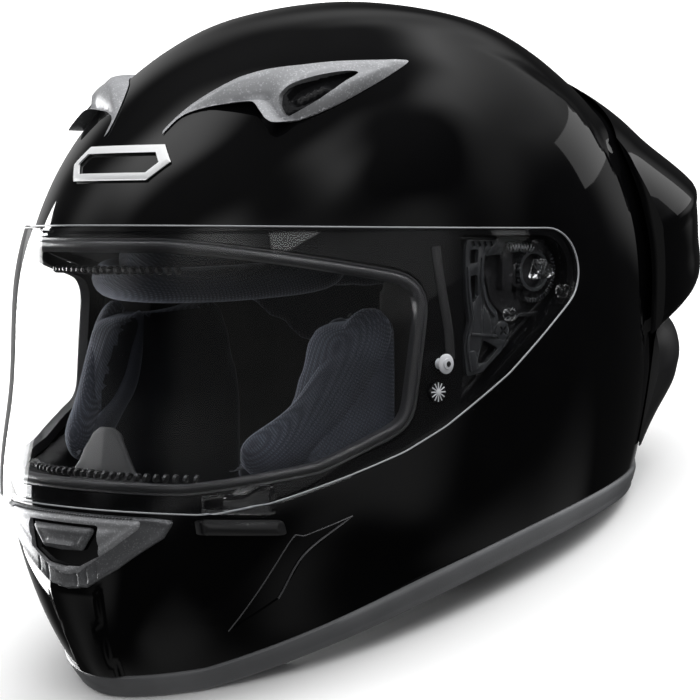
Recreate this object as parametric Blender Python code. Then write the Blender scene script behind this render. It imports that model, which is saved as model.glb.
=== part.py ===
"""Full-face motorcycle helmet with a clear visor that turns up on two side pivots.

Everything is laid out in head axes: the origin is the middle of the visor's pivot axis, +X is the
wearer's left, +Y is rearwards and +Z is up. The base plane is tilted in those axes, so the last step
turns the whole helmet to stand on its base. Sizes are in millimetres until that last step.
"""

import math

import bmesh
import bpy
from mathutils import Matrix, Vector

MM = 0.001
GAP = 0.35  # clearance kept between pieces that touch

# --- the outer form -------------------------------------------------------------------------------
HALF_WIDTH = 125.0
FRONT_REACH = 162.0
REAR_REACH = 152.0
CROWN_HEIGHT = 120.0
LOWER_DEPTH = 215.0
# One row for each level, from under the base to the crown: height as a share of CROWN_HEIGHT above the
# pivot and of LOWER_DEPTH below it, shares of half width, front reach and rear reach, and how square the
# front and the rear of the plan outline are (2 is an ellipse).
STATIONS = (
    (-1.20, 0.30, 0.30, 0.25, 1.60, 2.20),
    (-1.00, 0.60, 0.62, 0.47, 1.60, 2.20),
    (-0.84, 0.73, 0.83, 0.62, 1.75, 2.20),
    (-0.67, 0.84, 0.94, 0.75, 2.05, 2.20),
    (-0.46, 0.94, 0.98, 0.87, 2.30, 2.20),
    (-0.23, 0.99, 0.95, 0.96, 2.15, 2.20),
    (0.00, 1.00, 0.93, 1.00, 2.10, 2.20),
    (0.32, 0.96, 0.835, 0.96, 2.10, 2.10),
    (0.585, 0.856, 0.685, 0.825, 2.10, 2.05),
    (0.80, 0.664, 0.50, 0.59, 2.10, 2.00),
    (0.94, 0.42, 0.285, 0.345, 2.10, 2.00),
    (1.00, 0.00, 0.00, 0.00, 2.10, 2.00),
)
RING_COUNT = 33
COLUMN_COUNT = 40

# --- the base -------------------------------------------------------------------------------------
BASE_TILT = math.radians(18.5)
BASE_DROP = 135.5  # from the pivot axis straight down to the base plane, in head axes
ARCH_RISE = 13.5  # how far the base edge arches up at the sides
ARCH_CENTRE = -5.0
ARCH_HALF_LENGTH = 120.0
TRIM_HEIGHT = 11.0
TRIM_PROUD = 1.5
TRIM_DEPTH = 8.0

# --- walls ----------------------------------------------------------------------------------------
SHELL_WALL = 3.6
HEAD_HALF_WIDTH = 88.0
HEAD_FRONT = 112.0
HEAD_REAR = 118.0
HEAD_CROWN = 88.0
CROWN_PAD = 9.0
CHIN_LINER_DEPTH = 15.0
EPS_BASE = 30.0  # height of the foam liner's lower edge over the base plane

# --- eye port and visor ---------------------------------------------------------------------------
PORT_TOP = 10.0
PORT_REAR = -63.0
PORT_BOTTOM = -86.0
PORT_RADIUS = 12.0
GASKET_WIDTH = 5.0
GASKET_PROUD = 1.0
VISOR_CLEARANCE = 1.6
VISOR_WALL = 2.6
VISOR_TOP = 18.0  # also the radius of the visor's ends about the pivot
VISOR_SLOPE = math.radians(40.0)
# The visor's lower edge from its ends to the front, rearwards and up from the pivot.
VISOR_EDGE = (
    (-22.0, -42.5), (-52.0, -63.5), (-70.0, -73.5), (-93.0, -83.0), (-117.0, -92.5), (-138.0, -98.0),
)
VISOR_BOTTOM = -98.0

# --- visor mechanism ------------------------------------------------------------------------------
POCKET_DEPTH = 12.0
POCKET_INSET = 3.0
POCKET_FRONT = -43.0
PLATE_WALL = 3.2
LEVER_WALL = 2.8
LEVER_WIDTH = 7.0
LEVER_TRAVEL = 3.2  # at the lever's top
GEAR_RADIUS = 9.0
GEAR_WALL = 2.4
LUG_RADIUS = 6.0
SCREW_RADIUS = 1.6
SCREW_HEAD_RADIUS = 3.2
SCREW_HEAD = 1.6
SCREW_PLACES = ((-20.0, 10.0), (-17.5, -25.0))  # rearwards and up from the pivot
POST_PLACE = (-54.0, -37.5)
PIN_PLACE = (-57.0, -49.0)
PIN_RADIUS = 2.4
PIN_HEAD_RADIUS = 4.2
PIN_HEAD = 1.1

# --- vents ----------------------------------------------------------------------------------------
VENT_SEAT = 0.4  # height of a vent's underside over the shell
BROW_VENT_RISE = 7.5
BROW_VENT_OUTLINE = (
    (21.0, 59.0),
    (33.0, 67.0),
    (47.0, 72.0),
    (67.0, 61.0),
    (80.0, 69.0),
    (88.0, 81.0),
    (85.0, 91.5),
    (56.0, 89.5),
    (33.0, 82.0),
    (25.0, 70.0),
)
SLIDER_CENTRE = (73.0, 72.0)
SLIDER_SLANT = math.radians(50.0)
SLIDER_LENGTH = 12.0
SLIDER_WIDTH = 5.5
SLIDER_TRAVEL = 6.0
SLIDER_RISE = 5.5
CHIN_VENT_TOP = -102.0
CHIN_VENT_BOTTOM = -128.0
CHIN_VENT_HALF_WIDTHS = (46.0, 16.0)  # top and bottom
CHIN_VENT_RISE = 3.2
SHUTTER_TOP = -106.0
SHUTTER_BOTTOM = -116.0
SHUTTER_HALF_WIDTHS = (22.0, 13.0)
SHUTTER_TRAVEL = 4.0
SHUTTER_RISE = 4.6
INTAKE_HALF_WIDTH = 10.0
INTAKE_INSET = 2.0

# --- badge, spoiler and rear ------------------------------------------------------------------------
BADGE_HALF_WIDTH = 40.0
BADGE_HALF_HEIGHT = 12.5
BADGE_CENTRE = 45.5
BADGE_RIM = 3.4
BADGE_RISE = 1.6
SPOILER_REACH = 27.0  # of the lip's edge past the shell
SPOILER_EDGE = 0.8  # the lip's lower edge, as a share of its upper edge's reach
SPOILER_SPREAD = math.radians(56.0)  # either side of the rear
# Heights over the pivot at the rear and at the sides: where it starts, its shoulder, its lip and its foot.
SPOILER_START = (96.0, 58.0)
SPOILER_SHOULDER = (58.0, 42.0)
SPOILER_LIP = (38.0, 18.0)
SPOILER_FOOT = (10.0, -22.0)
EXHAUST_REACH = 16.0
EXHAUST_SPREAD = math.radians(50.0)
EXHAUST_LEVELS = (-10.0, -26.0, -50.0, -80.0)  # where it starts, its fullest stretch and its foot

# --- soft parts and straps ------------------------------------------------------------------------
CHEEK_FRONT = -92.0
CHEEK_REAR = -6.0
CHEEK_TOP = -14.0
CHEEK_BASE = 15.0
CHEEK_INNER = 62.0
NECK_ROLL_BASE = 3.0
NECK_ROLL_DEPTH = 20.0
NECK_ROLL_FRONT = 12.0
CURTAIN_WALL = 2.2
CURTAIN_BASE = 3.0
CURTAIN_REAR = -92.0
BREATH_GUARD_WALL = 2.5
STRAP_WIDTH = 22.0
STRAP_WALL = 2.0
STRAP_Y = -8.0
STRAP_HEIGHT = 20.0
STRAP_SAG = 8.0
ANCHOR_LENGTH = 12.0
ANCHOR_WALL = 1.6
RING_WIRE = 3.2
RING_WIDTH = 29.0
RING_REACH = 18.0
RING_X = -50.0
RING_HEIGHT = 19.0
RING_DROOP = math.radians(24.0)  # of the lower ring at rest


def spline(share):
    """Station values at a share of the way from the lowest station to the crown."""
    rows = [list(row) for row in STATIONS]
    for row in rows:
        row[0] *= CROWN_HEIGHT if row[0] > 0 else LOWER_DEPTH
        row[1] *= HALF_WIDTH
        row[2] *= FRONT_REACH
        row[3] *= REAR_REACH
    before = rows[-2]
    # A mirrored row past the crown makes the form level there.
    rows.append([before[0], -before[1], -before[2], -before[3], *before[4:]])
    place = min(max(share, 0.0), 1.0) * (len(STATIONS) - 1)
    index = min(int(place), len(STATIONS) - 2)
    t = place - index
    p0, p1, p2, p3 = (rows[max(index + k, 0)] for k in (-1, 0, 1, 2))
    return [
        0.5 * (2 * b + (c - a) * t + (2 * a - 5 * b + 4 * c - d) * t * t + (3 * b - a - 3 * c + d) * t**3)
        for a, b, c, d in zip(p0, p1, p2, p3)
    ]


def base_point(share, angle):
    """Point of the outer form at a share of its height and a plan angle, where -90 degrees is the front."""
    height, width, front, rear, front_power, rear_power = spline(share)
    across, along = math.cos(angle), math.sin(angle)
    power = 2 / (front_power if along < 0 else rear_power)
    reach = front if along < 0 else rear
    return Vector(
        (
            width * math.copysign(abs(across) ** power, across),
            reach * math.copysign(abs(along) ** power, along),
            height,
        )
    )


def form_point(share, angle, grow):
    """Point of the form moved outwards by grow along the form's normal."""
    point = base_point(share, angle)
    if share > 0.999:
        return point + Vector((0, 0, grow))
    step = 0.004
    up = base_point(min(share + step, 1.0), angle) - base_point(share - step, angle)
    round_ = base_point(share, angle + step) - base_point(share, angle - step)
    normal = round_.cross(up)
    return point + normal.normalized() * grow if normal.length > 1e-9 else point - Vector((0, 0, grow))


def level(height):
    """Half width, front, rear and their powers at a height."""
    low, high = 0.0, 1.0
    for _ in range(40):
        middle = (low + high) / 2
        low, high = (middle, high) if spline(middle)[0] < height else (low, middle)
    return spline(low)[1:]


def side_x(y, z):
    """Half width of the form at a place in side view."""
    width, front, rear, front_power, rear_power = level(z)
    reach, power = (front, front_power) if y < 0 else (rear, rear_power)
    return width * max(0.0, 1 - abs(y / reach) ** power) ** (1 / power)


def front_y(x, z):
    """How far forward, as a negative Y, the form is at a place in front view."""
    width, front, _, power, _ = level(z)
    return -front * max(0.0, 1 - abs(x / width) ** power) ** (1 / power)


# --- Blender helpers --------------------------------------------------------------------------------


def clear_scene():
    for obj in list(bpy.data.objects):
        bpy.data.objects.remove(obj, do_unlink=True)


def collection(name):
    made = bpy.data.collections.new(name)
    bpy.context.scene.collection.children.link(made)
    return made


def material(name, colour, roughness, metallic=0.0, alpha=1.0):
    made = bpy.data.materials.new(name)
    made.use_nodes = True
    shader = made.node_tree.nodes["Principled BSDF"]
    shader.inputs["Base Color"].default_value = (*colour, 1.0)
    shader.inputs["Roughness"].default_value = roughness
    shader.inputs["Metallic"].default_value = metallic
    shader.inputs["Alpha"].default_value = alpha
    return made


def mesh_object(name, bm):
    mesh = bpy.data.meshes.new(name)
    bm.to_mesh(mesh)
    bm.free()
    obj = bpy.data.objects.new(name, mesh)
    WORK.objects.link(obj)
    return obj


def form_solid(grow):
    """The whole outer form as a closed solid, grown outwards by grow."""
    bm = bmesh.new()
    bmesh.ops.create_uvsphere(bm, u_segments=COLUMN_COUNT, v_segments=RING_COUNT, radius=1.0)
    for vertex in bm.verts:
        share = math.asin(max(-1.0, min(1.0, vertex.co.z))) / math.pi + 0.5
        vertex.co = form_point(share, math.atan2(vertex.co.y, vertex.co.x), grow)
    bmesh.ops.recalc_face_normals(bm, faces=bm.faces)
    return mesh_object("form", bm)


def head_solid(grow):
    """The room for the head: a dome over walls that run down past the base."""
    bm = bmesh.new()
    bmesh.ops.create_uvsphere(bm, u_segments=28, v_segments=16, radius=1.0)
    for vertex in bm.verts:
        x, y, z = vertex.co
        reach = HEAD_FRONT if y < 0 else HEAD_REAR
        drop = HEAD_CROWN if z > 0 else 2 * LOWER_DEPTH
        narrow = 1.0 if z > 0 else (1 - z * z) ** -0.25 if z > -0.9 else 1.5
        vertex.co = Vector(
            (x * (HEAD_HALF_WIDTH + grow) * narrow, y * (reach + grow) * narrow, z * (drop + grow))
        )
    bmesh.ops.recalc_face_normals(bm, faces=bm.faces)
    return mesh_object("head", bm)


def prism(outline, axis, low, high):
    """A flat outline swept along X, Y or Z. Its points are (Y, Z), (X, Z) or (X, Y)."""
    curve = bpy.data.curves.new("outline", "CURVE")
    curve.dimensions = "2D"
    curve.fill_mode = "BOTH"
    curve.extrude = (high - low) / 2
    line = curve.splines.new("POLY")
    line.points.add(len(outline) - 1)
    for point, (u, v) in zip(line.points, outline):
        point.co = (u, v, 0, 1)
    line.use_cyclic_u = True
    obj = bpy.data.objects.new("outline", curve)
    WORK.objects.link(obj)
    mesh = bpy.data.meshes.new_from_object(obj.evaluated_get(bpy.context.evaluated_depsgraph_get()))
    bpy.data.objects.remove(obj)
    middle = (low + high) / 2
    turn = {
        "X": Matrix(((0, 0, 1, middle), (1, 0, 0, 0), (0, 1, 0, 0), (0, 0, 0, 1))),
        "Y": Matrix(((1, 0, 0, 0), (0, 0, -1, middle), (0, 1, 0, 0), (0, 0, 0, 1))),
        "Z": Matrix.Translation((0, 0, middle)),
    }[axis]
    bm = bmesh.new()
    bm.from_mesh(mesh)
    bmesh.ops.remove_doubles(bm, verts=bm.verts, dist=0.001)
    bmesh.ops.transform(bm, matrix=turn, verts=bm.verts)
    bmesh.ops.recalc_face_normals(bm, faces=bm.faces)
    return mesh_object("prism", bm)


def box(low, high, turn=None):
    bm = bmesh.new()
    low, high = Vector(low), Vector(high)
    size = high - low
    place = Matrix.Translation((low + high) / 2) @ Matrix.Diagonal((*size, 1))
    bmesh.ops.create_cube(bm, size=1.0, matrix=(turn or Matrix()) @ place)
    return mesh_object("box", bm)


def cylinder(radius, start, end, segments=20):
    """A round bar between two points."""
    start, end = Vector(start), Vector(end)
    along = end - start
    turn = Vector((0, 0, 1)).rotation_difference(along).to_matrix().to_4x4()
    bm = bmesh.new()
    bmesh.ops.create_cone(
        bm,
        cap_ends=True,
        segments=segments,
        radius1=radius,
        radius2=radius,
        depth=along.length,
        matrix=Matrix.Translation((start + end) / 2) @ turn,
    )
    return mesh_object("bar", bm)


def boolean(obj, other, operation, keep_other=False):
    """Cuts, keeps or joins, applies the result to obj, and removes the other solid."""
    modifier = obj.modifiers.new(operation, "BOOLEAN")
    modifier.operation = operation
    modifier.object = other
    modifier.solver = "EXACT"
    bpy.context.view_layer.update()
    made = bpy.data.meshes.new_from_object(obj.evaluated_get(bpy.context.evaluated_depsgraph_get()))
    obj.modifiers.clear()
    obj.data = made
    if not keep_other:
        bpy.data.objects.remove(other)
    return obj


def cut(obj, *others):
    for other in others:
        boolean(obj, other, "DIFFERENCE")
    return obj


def keep(obj, *others):
    for other in others:
        boolean(obj, other, "INTERSECT")
    return obj


def join(obj, *others):
    for other in others:
        boolean(obj, other, "UNION")
    return obj


def slab(low, high):
    """The layer of the form between two offsets."""
    return cut(form_solid(high), form_solid(low))


def mirrored(outline):
    return [(-u, v) for u, v in reversed(outline)]


def arc(centre, radius, start, end, steps):
    """Points of an arc between two angles in degrees."""
    angles = [math.radians(start + (end - start) * k / steps) for k in range(steps + 1)]
    return [(centre[0] + radius * math.cos(a), centre[1] + radius * math.sin(a)) for a in angles]


def rounded(corners, radius, steps=4):
    """An outline whose corners are rounded off."""
    made = []
    for index, corner in enumerate(corners):
        here = Vector(corner)
        before = (Vector(corners[index - 1]) - here).normalized()
        after = (Vector(corners[(index + 1) % len(corners)]) - here).normalized()
        half = before.angle(after) / 2
        reach = radius / math.tan(half)
        start, end = here + before * reach, here + after * reach
        for k in range(steps + 1):
            t = k / steps
            made.append(tuple(start * (1 - t) ** 2 + here * 2 * t * (1 - t) + end * t * t))
    return made


def base_turn():
    """Matrix from base axes, with the base plane at zero height under the pivot, to head axes."""
    return Matrix.Translation((0, 0, -BASE_DROP)) @ Matrix.Rotation(BASE_TILT, 4, "X")


FAR = 400.0


def arch(y):
    """How far the base edge stands over the base plane at a place along the base."""
    share = (y - ARCH_CENTRE) / ARCH_HALF_LENGTH
    return ARCH_RISE * max(0.0, 1 - share * share)


def base_layer(low, high):
    """All that lies between two heights over the base edge."""
    steps = [ARCH_CENTRE + ARCH_HALF_LENGTH * (k / 10 - 1) for k in range(21)]
    edge = [(-FAR, 0.0), *((y, arch(y)) for y in steps), (FAR, 0.0)]
    outline = [(y, z + low) for y, z in edge] + [(y, z + high) for y, z in reversed(edge)]
    layer = prism(outline, "X", -FAR, FAR)
    layer.data.transform(base_turn())
    return layer


def loft(sections):
    """A closed solid through sections that have the same number of points."""
    bm = bmesh.new()
    rings = [[bm.verts.new(point) for point in section] for section in sections]
    count = len(rings[0])
    for near, far in zip(rings, rings[1:]):
        for k in range(count):
            bm.faces.new((near[k], near[(k + 1) % count], far[(k + 1) % count], far[k]))
    bm.faces.new(rings[0])
    bm.faces.new(rings[-1])
    bmesh.ops.recalc_face_normals(bm, faces=bm.faces)
    bmesh.ops.triangulate(bm, faces=bm.faces)
    return mesh_object("loft", bm)


def finish(obj, name, look):
    """Names a finished solid, gives it its material and moves it to the helmet's collection."""
    obj.name = name
    obj.data.name = name
    obj.data.materials.clear()
    obj.data.materials.append(look)
    obj.data.shade_smooth()
    obj.data.set_sharp_from_angle(angle=math.radians(35))
    WORK.objects.unlink(obj)
    HELMET.objects.link(obj)
    return obj


def both_sides(make, name, look):
    """Makes a piece for the wearer's left, at +X, and one for the right."""
    for side, word in ((1, "left"), (-1, "right")):
        finish(make(side), f"{name}_{word}", look)


def sided(obj, side):
    """Mirrors a solid to the wearer's right when side is -1."""
    if side < 0:
        bm = bmesh.new()
        bm.from_mesh(obj.data)
        bmesh.ops.scale(bm, vec=(-1, 1, 1), verts=bm.verts)
        bmesh.ops.reverse_faces(bm, faces=bm.faces)
        bm.to_mesh(obj.data)
        bm.free()
    return obj


# --- outlines ---------------------------------------------------------------------------------------


def port_outline(grow):
    corners = (
        (-FAR, PORT_TOP + grow),
        (PORT_REAR - 77, PORT_TOP - 1 + grow),
        (PORT_REAR + grow, PORT_TOP - 16 + grow),
        (PORT_REAR - 6 + grow, PORT_BOTTOM + 26 - grow),
        (PORT_REAR - 40, PORT_BOTTOM + 9 - grow),
        (PORT_REAR - 80, PORT_BOTTOM - grow),
        (-FAR, PORT_BOTTOM - grow),
    )
    return rounded(corners, PORT_RADIUS + grow)


def visor_outline(inset):
    """The visor in side view: round about the pivot, then along its lower edge to the front."""
    radius = VISOR_TOP - inset
    slope = math.degrees(VISOR_SLOPE)
    ends = arc((0, 0), radius, 90, slope - 90, 10)
    edge = [(y, z + inset) for y, z in VISOR_EDGE]
    return [*ends, *edge, (-FAR, VISOR_BOTTOM + inset), (-FAR, VISOR_TOP - inset)]


def pocket_outline(grow):
    inset = POCKET_INSET - grow
    radius = VISOR_TOP - inset
    slope = math.degrees(VISOR_SLOPE)
    foot = arc((0, 0), radius, 90, slope - 90, 8)
    front = POCKET_FRONT - grow
    drop = (foot[-1][0] - front) * math.tan(VISOR_SLOPE)
    return [*foot, (front, foot[-1][1] - drop), (front, radius)]


def trapezoid(top, bottom, half_widths, grow=0.0):
    upper, lower = half_widths
    return [
        (-upper - grow, top + grow),
        (-lower - grow, bottom - grow),
        (lower + grow, bottom - grow),
        (upper + grow, top + grow),
    ]


def slider_outline(grow, travel=0.0):
    """The brow vent's slider in front view. The travel lengthens it up and outwards."""
    along = Vector((math.cos(SLIDER_SLANT), math.sin(SLIDER_SLANT)))
    across = Vector((-along.y, along.x))
    centre = Vector(SLIDER_CENTRE)
    half, width = SLIDER_LENGTH / 2 + grow, SLIDER_WIDTH / 2 + grow
    return [
        tuple(centre + along * a + across * b)
        for a, b in ((-half, -width), (half + travel, -width), (half + travel, width), (-half, width))
    ]


# --- the shell and what is fixed to it --------------------------------------------------------------


def pocket_floor():
    return side_x(0, 0) - POCKET_DEPTH


def pockets(grow):
    """Both side recesses for the visor mechanism."""
    depth = pocket_floor() - grow
    return (
        prism(pocket_outline(grow), "X", depth, FAR),
        prism(pocket_outline(grow), "X", -FAR, -depth),
    )


def make_outer_shell():
    shell = cut(form_solid(0.0), *pockets(0.0))
    room = cut(form_solid(-SHELL_WALL), *pockets(SHELL_WALL))
    cut(shell, room, prism(port_outline(GASKET_WIDTH + GAP), "X", -FAR, FAR))
    cut(shell, base_layer(-FAR, TRIM_HEIGHT + GAP))
    cut(shell, prism(intake_outline(0.0), "Y", -FAR, -60))
    for outline in (slider_outline(-1.2), mirrored(slider_outline(-1.2))):
        cut(shell, prism(outline, "Y", -FAR, -20))
    for side in (1, -1):
        for y, z in SCREW_PLACES:
            low, high = pocket_floor() - 9, pocket_floor() + 9
            cut(shell, cylinder(SCREW_RADIUS + GAP, (side * low, y, z), (side * high, y, z), 12))
    return finish(shell, "outer_shell", GLOSS_BLACK)


def make_base_trim():
    trim = keep(slab(-TRIM_DEPTH, TRIM_PROUD), base_layer(0.0, TRIM_HEIGHT))
    finish(trim, "base_trim", TRIM_GREY)


def make_gasket():
    gasket = keep(slab(-SHELL_WALL - 2, GASKET_PROUD), prism(port_outline(GASKET_WIDTH), "X", -FAR, FAR))
    cut(gasket, prism(port_outline(0.0), "X", -FAR, FAR))
    finish(gasket, "eyeport_gasket", RUBBER)


def temple_outline(grow):
    """What the foam liner leaves free in front, in side view."""
    edge = PORT_REAR + GASKET_WIDTH + 7
    return (
        (-FAR, PORT_TOP + GASKET_WIDTH + 1 + grow),
        (PORT_REAR - 77, PORT_TOP + GASKET_WIDTH + 1 + grow),
        (edge + grow, PORT_TOP + GASKET_WIDTH - 14 + grow),
        (edge + grow, -FAR),
        (-FAR, -FAR),
    )


def make_eps_liner():
    liner = form_solid(-SHELL_WALL - GAP)
    cut(liner, base_layer(-FAR, EPS_BASE), head_solid(0.0), *pockets(SHELL_WALL + GAP))
    cut(liner, prism(temple_outline(0.0), "X", -FAR, FAR))
    finish(liner, "eps_liner", FOAM)


def make_chin_liner():
    liner = slab(-SHELL_WALL - CHIN_LINER_DEPTH, -SHELL_WALL - GAP)
    lift = GASKET_WIDTH + 1
    rear = PORT_REAR + GASKET_WIDTH + 7 - GAP
    side = (
        (-FAR, PORT_BOTTOM - lift),
        (PORT_REAR - 80, PORT_BOTTOM - lift),
        (PORT_REAR - 40, PORT_BOTTOM + 9 - lift),
        (PORT_REAR - 4, PORT_BOTTOM + 22 - lift),
        (rear, PORT_BOTTOM + 22 - lift),
        (rear, -FAR),
        (-FAR, -FAR),
    )
    keep(liner, prism(side, "X", -FAR, FAR))
    cut(liner, base_layer(-FAR, TRIM_HEIGHT + 2 * GAP))
    finish(liner, "chin_bar_liner", FOAM)


def make_crown_pad():
    pad = cut(head_solid(-GAP), head_solid(-CROWN_PAD))
    brow = CHEEK_TOP + 6
    side = ((-FAR, brow), (0, brow - 1), (60, -50), (FAR, -50), (FAR, FAR), (-FAR, FAR))
    keep(pad, prism(side, "X", -FAR, FAR))
    finish(pad, "crown_pad", CLOTH)


def make_cheek_pad(side):
    corners = (
        (CHEEK_FRONT, -60),
        (CHEEK_FRONT + 14, CHEEK_TOP - 8),
        (CHEEK_REAR - 12, CHEEK_TOP),
        (CHEEK_REAR, -60),
        (CHEEK_REAR, -FAR / 2),
        (CHEEK_FRONT, -FAR / 2),
    )
    pad = prism(rounded(corners, 6.0, 2), "X", CHEEK_INNER, HALF_WIDTH)
    keep(pad, form_solid(-SHELL_WALL - CHIN_LINER_DEPTH - GAP))
    behind = ((PORT_REAR + 8, -FAR), (FAR, -FAR), (FAR, FAR), (PORT_REAR + 8, FAR))
    foam = cut(prism(behind, "X", 0, FAR), head_solid(-GAP))
    return sided(cut(pad, base_layer(-FAR, CHEEK_BASE), foam), side)


def make_neck_roll():
    roll = slab(-TRIM_DEPTH - NECK_ROLL_DEPTH, -TRIM_DEPTH - GAP)
    keep(roll, base_layer(NECK_ROLL_BASE, EPS_BASE - GAP))
    cut(roll, box((-FAR, -FAR, -FAR), (FAR, NECK_ROLL_FRONT, FAR)))
    finish(roll, "neck_roll", CLOTH)


def make_chin_curtain():
    curtain = keep(form_solid(-TRIM_DEPTH - GAP), base_layer(CURTAIN_BASE, CURTAIN_BASE + CURTAIN_WALL))
    room = [(104 * math.cos(a), -20 + 82 * math.sin(a)) for a in (math.tau * k / 24 for k in range(24))]
    cut(curtain, prism(room, "Z", -FAR, FAR), box((-FAR, CURTAIN_REAR, -FAR), (FAR, FAR, FAR)))
    finish(curtain, "chin_curtain", CLOTH)


def make_breath_guard():
    high = -SHELL_WALL - CHIN_LINER_DEPTH - GAP
    guard = slab(high - BREATH_GUARD_WALL, high)
    half = ((34, PORT_BOTTOM - 18), (26, PORT_BOTTOM), (11, PORT_BOTTOM + 24))
    outline = (*half, *((-x, z) for x, z in reversed(half)))
    keep(guard, prism(outline, "Y", -FAR, -40))
    finish(guard, "breath_guard", RUBBER)


# --- visor and mechanism ----------------------------------------------------------------------------


def make_visor():
    visor = slab(VISOR_CLEARANCE, VISOR_CLEARANCE + VISOR_WALL)
    keep(visor, prism(visor_outline(0.0), "X", -FAR, FAR))
    for side in (1, -1):
        inner = pocket_floor() + PLATE_WALL + GEAR_WALL + 3 * GAP
        outer = side_x(0, 0) + VISOR_CLEARANCE + VISOR_WALL / 2
        join(visor, cylinder(LUG_RADIUS, (side * inner, 0, 0), (side * outer, 0, 0), 3))
        for y, z in (POST_PLACE, PIN_PLACE):
            low, high = side_x(y, z) - 9, side_x(y, z) + 14
            cut(visor, cylinder(PIN_RADIUS + GAP, (side * low, y, z), (side * high, y, z), 12))
    finish(visor, "visor", CLEAR)


def side_normal(y, z):
    """Outward direction of the form's left side at a place in side view."""
    step = 1.0
    slope_y = (side_x(y + step, z) - side_x(y - step, z)) / (2 * step)
    slope_z = (side_x(y, z + step) - side_x(y, z - step)) / (2 * step)
    return Vector((1, -slope_y, -slope_z)).normalized()


def make_pin(side, place, head):
    """A pin through the visor: a shank and a wider head outside, a little clear of the visor's face."""
    y, z = place
    normal = side_normal(y, z)
    foot = Vector((side_x(y, z), y, z))
    inner = foot + Vector(((VISOR_CLEARANCE + 0.2) / normal.x, 0, 0))
    lean = PIN_HEAD_RADIUS * math.sqrt(1 / normal.x**2 - 1)
    seat = foot + Vector(((VISOR_CLEARANCE + VISOR_WALL) / normal.x + lean + GAP, 0, 0))
    pin = cylinder(PIN_RADIUS, inner, seat + Vector((head / 2, 0, 0)), 12)
    join(pin, cylinder(PIN_HEAD_RADIUS, seat, seat + Vector((head, 0, 0)), 16))
    return sided(pin, side)


def make_plate(side):
    floor = pocket_floor()
    plate = prism(pocket_outline(-0.6), "X", floor + GAP, floor + GAP + PLATE_WALL)
    for y, z in SCREW_PLACES:
        cut(plate, cylinder(SCREW_RADIUS + GAP, (floor - 5, y, z), (floor + 15, y, z), 12))
    return sided(plate, side)


def make_gear(side):
    """The detent ring round the pivot."""
    foot = pocket_floor() + PLATE_WALL + 2 * GAP
    gear = cylinder(GEAR_RADIUS, (foot, 0, 0), (foot + GEAR_WALL, 0, 0), 24)
    cut(gear, cylinder(GEAR_RADIUS - 4.5, (foot - 1, 0, 0), (foot + 5, 0, 0), 16))
    teeth = 12
    for k in range(teeth):
        angle = math.tau * k / teeth
        y, z = GEAR_RADIUS * math.cos(angle), GEAR_RADIUS * math.sin(angle)
        cut(gear, cylinder(0.9, (foot - 1, y, z), (foot + 5, y, z), 6))
    return sided(gear, side)


def lever_layer():
    """Where the lever lies, between the base plate and the visor."""
    foot = pocket_floor() + PLATE_WALL + 2 * GAP
    return foot, foot + LEVER_WALL


def make_lever(side):
    """The lever along the mechanism's front edge that lets the visor go. It turns on its eye."""
    low, high = lever_layer()
    front = POCKET_FRONT + 1.4 + LEVER_TRAVEL
    wide = LEVER_WIDTH
    eye_y, eye_z = SCREW_PLACES[1]
    outline = (
        (front, VISOR_TOP - POCKET_INSET - 3.5),
        (front + wide, VISOR_TOP - POCKET_INSET - 3.5),
        (front + wide - 1, 0),
        (front + wide + 2, -14),
        (eye_y, eye_z + 6),
        (eye_y, eye_z - 4),
        (front + wide + 1, eye_z - 3),
        (front + 2, eye_z - 8),
        (front, eye_z - 2),
        (front + 1, -8),
    )
    lever = prism(outline, "X", low, high)
    join(lever, cylinder(5.2, (low, eye_y, eye_z), (high, eye_y, eye_z), 20))
    cut(lever, cylinder(SCREW_HEAD_RADIUS + GAP, (low - 1, eye_y, eye_z), (high + 1, eye_y, eye_z), 16))
    return sided(lever, side)


def make_lever_spring(side):
    """A leaf spring behind the lever."""
    low, high = lever_layer()
    rear = POCKET_FRONT + 1.4 + LEVER_TRAVEL + LEVER_WIDTH + GAP
    outline = ((rear, 9), (rear + 1.2, 9), (rear + 4, 2), (rear + 9, 0), (rear + 9, -1.2), (rear + 3.4, 0.6))
    return sided(prism(outline, "X", low, high - 0.6), side)


def make_screw(side, y, z):
    foot = pocket_floor() + PLATE_WALL + 2 * GAP
    screw = cylinder(SCREW_RADIUS, (foot - SHELL_WALL - PLATE_WALL, y, z), (foot + 0.5, y, z), 12)
    join(screw, cylinder(SCREW_HEAD_RADIUS, (foot, y, z), (foot + SCREW_HEAD, y, z), 16))
    return sided(screw, side)


def make_lift_tab():
    """The thumb tab at the visor's lower left edge."""
    proud = VISOR_CLEARANCE + VISOR_WALL + GAP
    low, high = VISOR_BOTTOM, VISOR_BOTTOM + 13
    outline = rounded(((69, low), (92, low), (92, high), (69, high)), 2.0, 2)
    tab = keep(slab(proud, proud + 3.5), prism(outline, "Y", -FAR, -40))
    finish(tab, "visor_lift_tab", CLEAR)


def make_latch():
    """The catch under the tab that holds the visor shut."""
    low, high = VISOR_BOTTOM - 9, VISOR_BOTTOM - 2
    outline = rounded(((66, low), (90, low), (90, high), (66, high)), 1.5, 2)
    latch = keep(slab(VENT_SEAT + 0.4, 4.0), prism(outline, "Y", -FAR, -40))
    finish(latch, "visor_latch", GLOSS_BLACK)


# --- vents ------------------------------------------------------------------------------------------


def make_brow_vent(side):
    outline = list(BROW_VENT_OUTLINE)
    vent = keep(slab(VENT_SEAT, BROW_VENT_RISE), prism(outline, "Y", -FAR, 0))
    cut(vent, prism(slider_outline(GAP + 0.3, SLIDER_TRAVEL), "Y", -FAR, 0))
    return sided(vent, side)


def make_brow_slider(side):
    return sided(keep(slab(VENT_SEAT + 0.3, SLIDER_RISE), prism(slider_outline(0.0), "Y", -FAR, 0)), side)


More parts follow.
